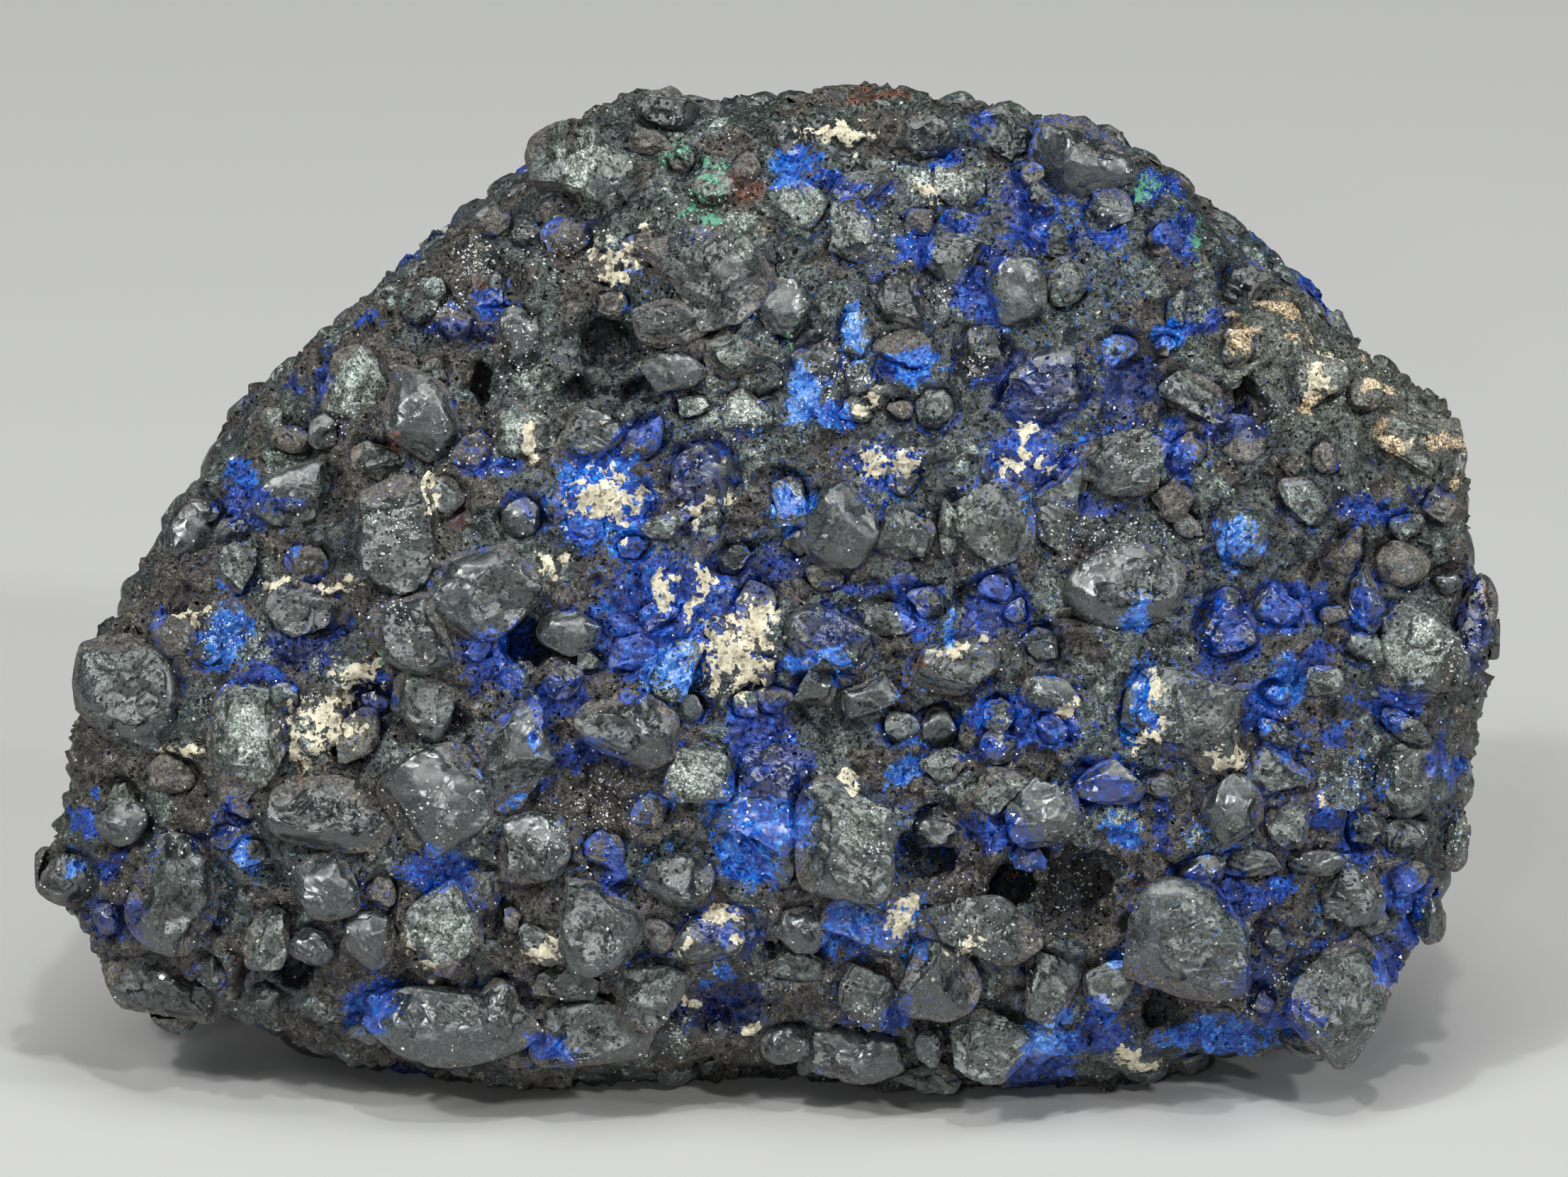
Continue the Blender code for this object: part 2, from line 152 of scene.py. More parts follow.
world = bpy.data.worlds.new("studio")
world.use_nodes = True
world.node_tree.nodes["Background"].inputs["Color"].default_value = (0.95, 0.97, 1.0, 1)
world.node_tree.nodes["Background"].inputs["Strength"].default_value = 0.10
bpy.context.scene.world = world

LAMP_COLOUR = (0.97, 1.0, 0.98)
LAMP_AIM = Vector((0, 0, 0.02))
# name, place in metres, side in metres, watts
LAMPS = [
    ("lamp_left", (-0.30, -0.32, 0.50), 0.25, 1.25),
    ("lamp_top", (0.03, -0.06, 0.48), 0.25, 0.85),
    ("lamp_back", (-0.50, 0.50, 0.45), 0.30, 0.16),
    ("spark_left", (-0.50, -0.55, 0.85), 0.06, 3.2),
    ("spark_top", (0.10, -0.45, 1.00), 0.05, 2.4),
    ("spark_right", (0.50, -0.65, 0.60), 0.06, 2.8),
    ("spark_low", (-0.10, -0.95, 0.40), 0.05, 0.8),
    ("spark_side", (0.90, -0.35, 0.45), 0.05, 1.8),
]
for name, place, side, watts in LAMPS:
    lamp_data = bpy.data.lights.new(name, "AREA")
    lamp_data.size = side
    lamp_data.energy = watts
    lamp_data.color = LAMP_COLOUR
    lamp = add_object(name, lamp_data)
    lamp.location = place
    lamp.rotation_euler = (LAMP_AIM - Vector(place)).to_track_quat("-Z", "Y").to_euler()


# The pebbles of the face, set in the ore where the picture shows them. Each is a worn stone,
# dark and smooth where its rind is left, and lighter, flaky and glassy where it is broken.
# x, y, half width, half height, turn, broken share, lightness
PEBBLES = [
    (185, 975, 68, 86, 0, 0.8, 0.5), (357, 1052, 58, 82, -10, 0.7, 0.7),
    (95, 1235, 42, 38, 40, 0.4, 0.3), (180, 1160, 36, 28, 0, 0.2, 0.3),
    (258, 1255, 68, 80, 0, 0.5, 0.5), (228, 1396, 76, 40, 25, 0.2, 0.25),
    (385, 1325, 35, 45, 10, 0.9, 0.6), (466, 1250, 47, 46, 0, 0.15, 0.35),
    (523, 1316, 37, 42, 0, 0.1, 0.25), (472, 1150, 80, 50, 5, 0.4, 0.35),
    (449, 1332, 32, 24, 0, 0.1, 0.25), (272, 755, 28, 38, 0, 0.1, 0.25),
    (337, 800, 27, 33, 0, 0.9, 0.7), (548, 752, 66, 75, 0, 0.6, 0.45),
    (588, 888, 60, 52, 10, 0.1, 0.25), (692, 838, 74, 64, 20, 0.25, 0.3),
    (595, 990, 45, 50, 0, 0.4, 0.35), (808, 890, 42, 30, 5, 0.1, 0.25),
    (620, 1122, 72, 75, 0, 0.4, 0.35), (735, 1060, 62, 72, 0, 0.4, 0.35),
    (893, 1028, 72, 48, 22, 0.35, 0.35), (985, 1092, 45, 44, 0, 0.7, 0.8),
    (750, 1200, 52, 50, 0, 0.5, 0.4), (630, 1308, 50, 62, 0, 0.8, 0.8),
    (640, 1440, 112, 54, 5, 0.15, 0.4), (715, 1425, 40, 45, 0, 0.1, 0.3),
    (850, 1455, 88, 48, 0, 0.4, 0.4), (918, 1395, 50, 50, 0, 0.5, 0.5),
    (835, 1290, 65, 72, 0, 0.6, 0.5), (765, 1332, 35, 20, 35, 0.5, 0.6),
    (1018, 1312, 60, 36, 0, 0.5, 0.4), (500, 548, 44, 52, 10, 1.0, 0.9),
    (600, 588, 48, 68, -20, 0.1, 0.25), (735, 612, 45, 38, 0, 0.9, 0.7),
    (830, 620, 50, 38, 0, 0.9, 0.45), (825, 235, 68, 78, -20, 0.7, 0.75),
    (940, 156, 42, 30, 0, 0.5, 0.1), (725, 480, 36, 40, 0, 0.2, 0.4),
    (1000, 392, 92, 68, 8, 0.45, 0.4), (950, 458, 50, 34, 10, 0.6, 0.4),
    (1106, 440, 38, 42, 0, 0.2, 0.4), (1035, 508, 42, 28, -5, 0.7, 0.7),
    (945, 528, 44, 27, 10, 0.4, 0.4), (1050, 582, 35, 32, 0, 1.0, 0.9),
    (1130, 302, 36, 38, 0, 0.9, 0.7), (1200, 328, 32, 40, 0, 0.8, 0.8),
    (1210, 270, 50, 25, -20, 0.7, 0.4), (1332, 262, 18, 26, 0, 0.5, 0.8),
    (1368, 266, 18, 26, 0, 0.5, 0.8), (1346, 364, 42, 34, 0, 0.5, 0.5),
    (1425, 414, 42, 48, 0, 0.3, 0.5), (1504, 395, 28, 36, 0, 0.7, 0.7),
    (1265, 422, 36, 37, 0, 0.8, 0.25), (1520, 228, 70, 55, 15, 0.15, 0.3),
    (1418, 190, 40, 34, 0, 0.4, 0.5), (1466, 548, 60, 52, 0, 0.6, 0.2),
    (1582, 640, 74, 54, -15, 0.6, 0.5), (1590, 830, 84, 56, 0, 0.15, 0.25),
    (1345, 940, 56, 40, 0, 0.1, 0.2), (1224, 980, 38, 22, -18, 0.4, 0.3),
    (1172, 905, 58, 48, 0, 0.5, 0.3), (1185, 745, 50, 58, 0, 0.2, 0.25),
    (1268, 752, 42, 35, 15, 0.8, 0.6), (1390, 735, 62, 58, 0, 0.5, 0.5),
    (992, 672, 45, 48, 0, 0.3, 0.1), (942, 742, 34, 16, -8, 0.6, 0.9),
    (1480, 978, 40, 22, 10, 0.1, 0.3), (1213, 1185, 80, 82, 0, 0.9, 0.6),
    (1465, 1142, 47, 45, 0, 0.2, 0.5), (1410, 1112, 38, 30, 0, 0.7, 0.7),
    (1375, 1308, 82, 45, 8, 0.5, 0.4), (1325, 1372, 54, 60, 0, 0.15, 0.2),
    (1472, 1392, 42, 48, 0, 0.8, 0.45), (1388, 1466, 60, 52, 0, 1.0, 0.6),
    (1568, 1385, 38, 35, 0, 0.5, 0.4), (1670, 1322, 88, 74, 15, 0.5, 0.5),
    (1225, 1302, 58, 38, 0, 0.4, 0.6), (1130, 1308, 35, 30, 0, 0.3, 0.3),
    (1205, 1490, 62, 38, 5, 0.2, 0.3), (1108, 1470, 32, 26, 0, 0.2, 0.3),
    (1218, 1400, 38, 45, 0, 0.8, 0.5), (1095, 1095, 46, 42, 0, 0.4, 0.2),
    (1070, 1160, 60, 78, 0, 0.4, 0.5), (957, 943, 38, 40, 0, 0.4, 0.5),
    (1690, 1005, 80, 76, 0, 1.0, 0.5), (1728, 1142, 44, 46, 0, 0.2, 0.45),
    (1812, 1162, 28, 34, 0, 0.6, 0.7), (1795, 1092, 42, 34, 15, 0.7, 0.6),
    (1880, 1406, 66, 88, 5, 0.5, 0.45), (1900, 1252, 45, 45, 0, 0.8, 0.4),
    (1740, 750, 40, 43, 0, 0.7, 0.7), (1833, 712, 26, 40, -35, 0.5, 0.8),
    (1922, 850, 24, 46, -10, 0.3, 0.2), (1728, 880, 42, 46, 0, 0.3, 0.2),
    (1990, 920, 60, 70, 0, 0.8, 0.5), (1755, 400, 34, 34, 0, 0.5, 0.15),
    (1855, 535, 38, 38, 0, 1.0, 0.95), (1980, 620, 60, 45, 20, 0.8, 0.5),
    (2080, 870, 26, 54, 10, 0.5, 0.5), (2045, 640, 20, 42, 0, 0.5, 0.4),
    (1560, 1105, 45, 32, 0, 0.4, 0.3), (960, 1230, 50, 40, 0, 0.5, 0.3),
    (1490, 720, 34, 60, 10, 0.6, 0.5), (420, 700, 60, 40, -30, 0.6, 0.4),
    (440, 860, 55, 35, 0, 0.5, 0.3), (1300, 200, 50, 30, 0, 0.6, 0.4),
    (1680, 560, 50, 35, 20, 0.7, 0.5), (1980, 1100, 40, 45, 0, 0.6, 0.4),
]
SMALL_PEBBLES = [
    (178, 1122, 26, 20, 35, 0.8, 0.8), (287, 718, 22, 18, 0, 0.3, 0.3),
    (830, 933, 20, 15, 0, 0.8, 0.8), (612, 528, 25, 20, 0, 0.8, 0.7),
    (612, 412, 18, 18, 0, 0.9, 0.8), (599, 440, 25, 18, 0, 0.8, 0.7),
    (978, 574, 20, 14, 0, 0.9, 0.9), (750, 336, 25, 14, 20, 0.4, 0.4),
    (1203, 478, 22, 30, 0, 0.3, 0.6), (1385, 500, 34, 40, 0, 0.5, 0.4),
    (1318, 580, 24, 28, 0, 0.9, 0.8), (1150, 967, 28, 24, 0, 0.3, 0.3),
    (1240, 872, 45, 24, 0, 0.9, 0.3), (1335, 738, 15, 40, 0, 0.8, 0.8),
    (1113, 700, 24, 38, 0, 0.7, 0.8), (1404, 1008, 22, 26, 0, 0.3, 0.4),
    (1322, 1024, 24, 26, 0, 0.1, 0.3), (1325, 1076, 32, 25, 0, 0.8, 0.7),
    (1311, 1472, 20, 26, 0, 0.3, 0.4), (1308, 1520, 40, 22, 0, 0.9, 0.5),
    (1125, 1355, 38, 22, 0, 0.9, 0.5), (1606, 985, 22, 48, 15, 0.3, 0.4),
    (1840, 1478, 35, 14, 15, 0.4, 0.4), (1760, 1215, 40, 18, 0, 0.4, 0.3),
    (1858, 1214, 40, 18, -8, 0.3, 0.3), (1690, 1228, 32, 22, -15, 0.1, 0.3),
    (2016, 1290, 22, 36, 0, 0.1, 0.4), (1977, 1176, 34, 32, 0, 0.5, 0.4),
    (1925, 1168, 25, 28, 0, 0.9, 0.2), (2055, 1185, 16, 40, 0, 0.9, 0.8),
    (1981, 745, 22, 18, 0, 0.8, 0.9), (1930, 916, 32, 22, 0, 0.8, 0.7),
    (1858, 960, 30, 20, 0, 0.8, 0.7), (2045, 935, 28, 36, 0, 0.9, 0.8),
    (2003, 888, 25, 22, 0, 0.9, 0.8), (1978, 1025, 36, 16, 30, 0.5, 0.6),
    (1740, 492, 22, 26, 0, 0.7, 0.6), (1560, 298, 32, 32, 0, 0.2, 0.6),
    (1660, 443, 16, 26, 0, 0.4, 0.7), (805, 1380, 45, 25, 0, 0.9, 0.5),
]
FILL_SIZES = [(30, 30, 0.9), (22, 46, 0.9), (16, 30, 0.9)]    # half size, how many, spacing
FILL_TRIES = 30                     # tries for each of them
HOLE_CLEAR = 1.4                    # they keep out of the holes, in half sizes of the hole
EDGE_REACH = 1.7
RIM_TESTS = [(1.6, 0), (-1.6, 0), (0, 1.6), (0, -1.6)]    # a fill pebble stays this far inside


# Holes and vugs between the pebbles, sunk into the ore and painted black as shade, darker the deeper: x,
# y, half width, half height, depth in millimetres.
HOLES = [
    (681, 536, 12, 26, 1.8), (860, 490, 35, 30, 1.2), (900, 548, 25, 12, 1.4),
    (1050, 555, 50, 10, 1.3), (820, 550, 40, 10, 1.3), (755, 915, 30, 25, 1.8),
    (1428, 1251, 28, 22, 2.4), (1510, 1250, 50, 55, 1.1), (1304, 1206, 38, 30, 1.2),
    (1754, 570, 10, 26, 1.8), (421, 1361, 22, 22, 1.4), (345, 1375, 12, 30, 1.2),
    (1360, 840, 20, 15, 1.2), (1110, 1343, 25, 8, 1.2), (1345, 1440, 20, 15, 1.2),
    (1640, 1420, 25, 25, 1.2), (1420, 415, 15, 12, 1.0), (1740, 507, 10, 10, 1.2),
    (1960, 590, 8, 15, 1.2), (1510, 870, 30, 15, 1.0), (640, 1010, 30, 14, 0.9),
    (500, 1075, 40, 25, 0.8), (380, 1230, 25, 20, 0.9), (700, 1290, 14, 40, 1.0),
]


def oval_distance(x, y, oval):
    """Distance from the middle of an oval of the tables, 1 at its edge."""
    return np.hypot((x - oval[0]) / oval[2], (y - oval[1]) / oval[3])


def nearest_pebble(x, y, rows):
    """For pixel places: distance to the nearest pebble's edge, in pixels, less than 0 inside."""
    gap = np.full(len(x), 99.0)
    for px, py, wide, tall, turn in [row[:5] for row in rows]:
        reach = EDGE_REACH * max(wide, tall) + 12
        near = np.nonzero((np.abs(x - px) < reach) & (np.abs(y - py) < reach))[0]
        if not len(near):
            continue
        angle = math.radians(turn)
        across = (x[near] - px) * math.cos(angle) + (y[near] - py) * math.sin(angle)
        down = (y[near] - py) * math.cos(angle) - (x[near] - px) * math.sin(angle)
        away = (np.hypot(across / wide, down / tall) - 1) * min(wide, tall)
        gap[near] = np.minimum(gap[near], away)
    return gap


dice = random.Random(5)
fill_pebbles = []
for half, number, spacing in FILL_SIZES:
    for _ in range(number * FILL_TRIES):
        if sum(1 for row in fill_pebbles if row[7] == half) >= number:
            break
        x = dice.uniform(60, 2100)
        y = dice.uniform(130, 1530)
        if any(
            math.hypot(x - row[0], y - row[1]) < spacing * half + 0.45 * (row[2] + row[3])
            for row in PEBBLES + SMALL_PEBBLES + fill_pebbles
        ):
            continue
        if any(face_hit(x + dx * half, y + dy * half) is None for dx, dy in RIM_TESTS):
            continue
        if any(oval_distance(x, y, row) < HOLE_CLEAR for row in HOLES):
            continue
        wide = half * dice.uniform(0.85, 1.35)
        tall = half * dice.uniform(0.75, 1.1)
        fill_pebbles.append((
            x, y, wide, tall, dice.uniform(-60, 60), dice.choice((0.1, 0.5, 0.9)),
            dice.choice((0.15, 0.3, 0.5, 0.75)), half,
        ))


# The block: brown-black sooty copper ore that cements the pebbles, crumbly and full of pores. It
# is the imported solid's own form with the pebbles worn off it, finer on the side that shows.
SOOTY_GRAIN = 0.42 * MM             # mesh size of the worn block
WEAR_PASSES = 4
FRONT_MARGIN = 7 * MM               # the fine part reaches this far behind the rim
ORE_SINK = 0.20 * MM                # the ore lies this much lower than the solid between pebbles
SEAT_DEPTH = 1.0 * MM               # and this much lower again where a pebble sits
CRUMBS = [(2.2 * MM, 0.16 * MM), (1.1 * MM, 0.20 * MM), (0.6 * MM, 0.12 * MM)]
FRAGMENT = 2.3 * MM                 # broken bits of pebbles lie in the ore, flat and at all leans
FRAGMENT_RISE = 0.36 * MM
SPLINTER = 1.0 * MM
SPLINTER_RISE = 0.24 * MM
SOOT_SHARE = 0.52                   # the rest of the ore is such fragments
STONY_PART = (1480, 480, 620, 420, 0.34)    # x, y, half width, half height and how much more
PORE_SIZE = 0.75 * MM
PORE_DEPTH = 0.55 * MM
TILTED = np.array(Matrix.Rotation(0.7, 3, Vector((1, 2, 3))))

# Places where azurite covers the face: x, y, half width, half height, and its colour from navy
# (0) through royal blue (0.4) and azure (0.75) to pale violet blue (1).
AZURITE = [
    (415, 547, 15, 15, 0.4), (518, 445, 15, 8, 0.4), (452, 540, 8, 40, 0.1),
    (699, 426, 22, 25, 0.5), (640, 470, 40, 12, 0.1), (352, 670, 24, 15, 0.6),
    (220, 868, 8, 15, 0.4), (370, 710, 50, 25, 0.3), (325, 900, 30, 32, 0.8),
    (432, 918, 52, 28, 0.1), (365, 958, 44, 12, 0.4), (525, 980, 22, 28, 0.1),
    (540, 965, 10, 12, 0.4), (118, 1160, 16, 14, 0.5), (141, 1120, 9, 12, 0.6),
    (112, 1225, 13, 18, 0.8), (160, 1225, 18, 20, 0.3), (160, 1300, 45, 25, 0.15),
    (325, 1165, 30, 25, 0.1), (359, 1203, 16, 20, 0.75), (619, 1223, 44, 28, 0.5),
    (525, 1416, 40, 38, 0.5), (785, 1475, 26, 22, 0.5), (699, 661, 36, 14, 0.4),
    (747, 716, 26, 15, 0.15), (902, 618, 28, 16, 0.4), (850, 700, 62, 60, 0.6),
    (930, 860, 84, 76, 0.45), (702, 930, 42, 44, 0.4), (785, 985, 36, 24, 0.3),
    (771, 1033, 10, 18, 0.5), (835, 1060, 38, 20, 0.35), (900, 985, 20, 15, 0.4),
    (871, 1223, 16, 25, 0.4), (1060, 1030, 44, 42, 0.4), (1019, 1410, 60, 32, 0.1),
    (1020, 1370, 20, 12, 0.75), (1120, 240, 22, 25, 0.7), (1183, 266, 54, 14, 0.4),
    (1385, 183, 18, 14, 0.4), (1325, 232, 24, 8, 0.5), (1360, 315, 26, 12, 0.4),
    (1425, 291, 22, 32, 0.25), (1455, 330, 32, 28, 0.4), (1410, 365, 22, 17, 0.35),
    (1373, 426, 30, 32, 0.4), (1290, 350, 20, 20, 0.5), (1560, 335, 38, 20, 0.4),
    (1633, 268, 30, 17, 0.4), (1665, 340, 22, 32, 0.4), (1700, 455, 20, 17, 0.35),
    (1650, 470, 22, 22, 0.7), (1590, 550, 44, 28, 0.1), (1128, 554, 20, 45, 0.95),
    (1163, 590, 38, 20, 0.6), (1235, 536, 15, 17, 0.15), (1335, 525, 12, 10, 0.4),
    (1270, 520, 32, 22, 0.7), (1450, 645, 48, 38, 0.35), (1240, 650, 44, 32, 0.4),
    (1290, 872, 22, 28, 0.45), (1400, 860, 40, 44, 0.3), (1342, 878, 12, 25, 0.95),
    (1085, 800, 50, 30, 0.1), (1240, 830, 70, 10, 0.3), (1370, 1012, 18, 18, 0.5),
    (1466, 1026, 54, 34, 0.45), (1387, 1064, 28, 14, 0.4), (1273, 1078, 20, 22, 0.8),
    (1560, 1105, 48, 30, 0.3), (1584, 1175, 26, 22, 0.75), (1420, 1175, 60, 20, 0.35),
    (1497, 1458, 36, 22, 0.8), (1560, 1468, 44, 24, 0.4), (1540, 1430, 28, 20, 0.45),
    (1462, 1510, 48, 22, 0.4), (1270, 1425, 20, 25, 0.4), (1575, 1355, 8, 18, 0.75),
    (1735, 600, 32, 24, 0.15), (1665, 640, 22, 30, 0.4), (1540, 715, 50, 12, 0.3),
    (1750, 1262, 44, 24, 0.25), (1795, 1250, 18, 18, 0.5), (1975, 1263, 36, 34, 0.5),
    (1955, 1362, 18, 28, 0.4), (1985, 1325, 18, 18, 0.5), (1895, 1190, 15, 30, 0.4),
    (1860, 1150, 25, 22, 0.4), (1775, 1375, 30, 30, 0.1), (1720, 1460, 75, 22, 0.7),
    (1820, 1430, 40, 22, 0.4), (1640, 1150, 12, 42, 0.3), (1930, 722, 46, 20, 0.4),
    (1815, 850, 36, 32, 0.4), (1805, 960, 24, 37, 0.7), (1780, 985, 26, 40, 0.5),
    (1850, 925, 28, 14, 0.4), (1957, 992, 42, 18, 0.4), (1875, 1035, 22, 16, 0.45),
    (2030, 1060, 14, 30, 0.4), (2045, 1085, 22, 20, 0.5), (2075, 870, 15, 70, 0.1),
    (2013, 700, 16, 8, 0.1), (1466, 548, 58, 50, 0.08), (992, 660, 44, 40, 0.08),
    (1172, 890, 50, 30, 0.1), (1172, 930, 50, 22, 0.7), (1095, 1095, 46, 42, 0.15),
    (1070, 1165, 58, 72, 0.65), (957, 943, 38, 40, 0.85), (1225, 1302, 50, 36, 0.6),
    (1728, 880, 40, 44, 0.35), (1922, 850, 24, 46, 0.4), (1740, 760, 30, 30, 0.8),
    (1606, 985, 22, 48, 0.7), (1690, 1228, 30, 20, 0.2), (1602, 862, 22, 28, 0.75),
    (1113, 716, 24, 26, 0.7), (1203, 478, 22, 30, 0.95), (1018, 1312, 50, 30, 0.3),
]
# Broad stretches where azurite is dusted over everything: x, y, half width, half height, share.
AZURITE_DUST = [
    (1250, 850, 760, 520, 0.27), (1450, 350, 360, 230, 0.30), (950, 850, 260, 220, 0.30),
    (1750, 1150, 330, 380, 0.30), (1250, 1250, 500, 280, 0.26), (420, 900, 300, 260, 0.20),
    (500, 1300, 420, 220, 0.20), (800, 450, 450, 300, 0.14),
]
# Cream clay on the face: x, y, half width and half height.
CLAY = [
    (459, 1010, 46, 34), (508, 950, 28, 22), (442, 1061, 18, 12), (271, 1057, 22, 10),
    (410, 825, 30, 10), (475, 830, 18, 10), (265, 870, 40, 8), (872, 380, 30, 34),
    (919, 326, 9, 9), (752, 626, 11, 28), (857, 705, 46, 34), (990, 715, 32, 13),
    (930, 832, 14, 20), (975, 865, 12, 37), (985, 822, 22, 13), (1043, 912, 40, 50),
    (1075, 865, 17, 17), (775, 790, 13, 24), (612, 685, 7, 26), (1180, 197, 44, 18),
    (1301, 274, 12, 16), (1218, 572, 16, 9), (1225, 645, 22, 20), (1270, 650, 20, 22),
    (1450, 630, 10, 30), (1475, 655, 16, 9), (1430, 665, 20, 9), (1345, 905, 30, 7),
    (1385, 903, 9, 9), (1625, 985, 10, 30), (1510, 1003, 15, 9), (1610, 1040, 12, 14),
    (1275, 1290, 16, 26), (1360, 1330, 18, 20), (1195, 1105, 6, 12), (1020, 1290, 35, 12),
    (968, 1320, 14, 14), (1045, 1335, 10, 12), (1055, 1440, 15, 10), (757, 1330, 25, 14),
    (965, 1395, 8, 20), (580, 1335, 5, 25), (600, 1362, 20, 8), (1600, 1495, 30, 13),
    (1730, 1070, 20, 10), (1865, 1130, 10, 12),
    (1857, 535, 26, 28),
]
# Malachite spots: x, y, half width and half height.
MALACHITE = [
    (961, 222, 24, 14), (1015, 238, 8, 10), (1002, 271, 10, 16), (995, 308, 17, 13),
    (975, 290, 8, 10), (1108, 485, 8, 8), (1612, 268, 15, 10), (1692, 322, 12, 20),
    (1693, 350, 8, 12), (1680, 372, 8, 6), (432, 1206, 12, 6), (545, 935, 8, 8),
]
# Pale silvery broken stone, lighter as on a fresh break and in part a painted sheen: x, y, half width
# and half height.
PALE_AND_PAINTED_SHEEN = [
    (880, 364, 30, 40), (1140, 315, 42, 38), (1032, 578, 58, 46), (1052, 360, 34, 34),
    (566, 411, 14, 14), (740, 606, 34, 26), (818, 250, 30, 52), (358, 1045, 36, 50),
    (975, 1100, 30, 26), (1600, 652, 40, 20), (1590, 1150, 30, 30), (630, 1322, 34, 40),
    (1235, 1310, 40, 16), (1360, 720, 34, 30), (1980, 925, 40, 50), (1650, 1000, 40, 50),
    (1210, 1150, 44, 40), (1330, 262, 60, 26), (500, 545, 34, 40), (1050, 300, 40, 16),
    (150, 950, 30, 40), (1700, 1300, 50, 26), (905, 1400, 26, 26), (655, 1422, 70, 22),
]
# The slate-grey rim at the upper right, its tan patches, and spots of red-brown rust.
WEATHERED = [(1800, 500, 110, 70), (1930, 560, 110, 60), (2020, 650, 60, 70)]
TAN = [
    (1748, 490, 18, 22), (1800, 440, 30, 14), (1835, 482, 16, 8), (1845, 577, 16, 12),
    (1942, 545, 12, 14), (1942, 598, 13, 20), (1964, 622, 22, 10), (2042, 626, 22, 12),
    (1905, 500, 12, 8), (2078, 830, 6, 26), (2060, 690, 8, 12), (1725, 450, 14, 8),
]
RUST = [
    (1249, 133, 38, 14), (645, 730, 13, 13), (1060, 255, 30, 18), (560, 620, 9, 16),
    (500, 650, 8, 10), (430, 1075, 8, 20), (1600, 1240, 12, 8), (1100, 1010, 10, 8),
    (1290, 930, 12, 8), (690, 395, 10, 12), (2090, 830, 8, 20), (1435, 1245, 14, 6),
]
BACK_AZURITE = 0.70                 # azurite on the hidden sides, as the share noise has to pass


CELL_KEYS = np.array((374761393, 668265263, 1442695041))
SEED_KEY = 974634777


def chance_values(keys):
    """Random values from -1 to 1, one for each whole number of an array."""
    mixed = keys & 0x7FFFFFFF
    mixed = (mixed ^ (mixed >> 13)) * 1274126177 & 0x7FFFFFFF
    return ((mixed ^ (mixed >> 15)) & 0xFFFF) / 32767.5 - 1


def grain(points, size, seed):
    """Smooth random values from -1 to 1 over an array of points, in grains of this size."""
    place = points @ TILTED / size + seed * 17.3
    cell = np.floor(place).astype(np.int64)
    part = place - cell
    part = part * part * (3 - 2 * part)
    total = np.zeros(len(points))
    for corner in range(8):
        step = np.array((corner & 1, corner >> 1 & 1, corner >> 2 & 1))
        value = chance_values((cell + step) @ CELL_KEYS + seed * SEED_KEY)
        total += np.prod(np.where(step == 1, part, 1 - part), axis=1) * value
    return total


def chunks(points, size, seed):
    """Broken lumps of this size: heights about 0, flat with their own lean, and a random value."""
    place = points @ TILTED / size + seed * 17.3
    place = place + 0.3 * np.array([grain(points, size * 0.6, seed + 90 + way) for way in range(3)]).T
    cell = np.floor(place).astype(np.int64)
    nearest = np.full(len(points), 9.0)
    height = np.zeros(len(points))
    value = np.zeros(len(points))
    for step in np.ndindex(3, 3, 3):
        key = (cell + step - 1) @ CELL_KEYS + seed * SEED_KEY
        chance = [chance_values(key + salt * 362437) for salt in range(8)]
        away = place - cell - np.array(step) + 0.5 - 0.45 * np.array(chance[:3]).T
        apart = (away ** 2).sum(axis=1)
        lean = np.array(chance[3:6]).T
        flat = 0.6 * chance[6] + 0.9 * (away * lean).sum(axis=1)
        height = np.where(apart < nearest, flat, height)
        value = np.where(apart < nearest, 0.5 + 0.5 * chance[7], value)
        nearest = np.minimum(nearest, apart)
    return height, value


def spread(x, y, spots):
    """How strongly each pixel place belongs to a list of spots: 1 inside, 0.5 at an edge."""
    strongest = np.zeros(len(x))
    which = np.zeros(len(x), int)
    for number, spot in enumerate(spots):
        strength = np.clip(1 - oval_distance(x, y, spot) / 2, 0, 1)
        which = np.where(strength > strongest, number, which)
        strongest = np.maximum(strongest, strength)
    return strongest, which


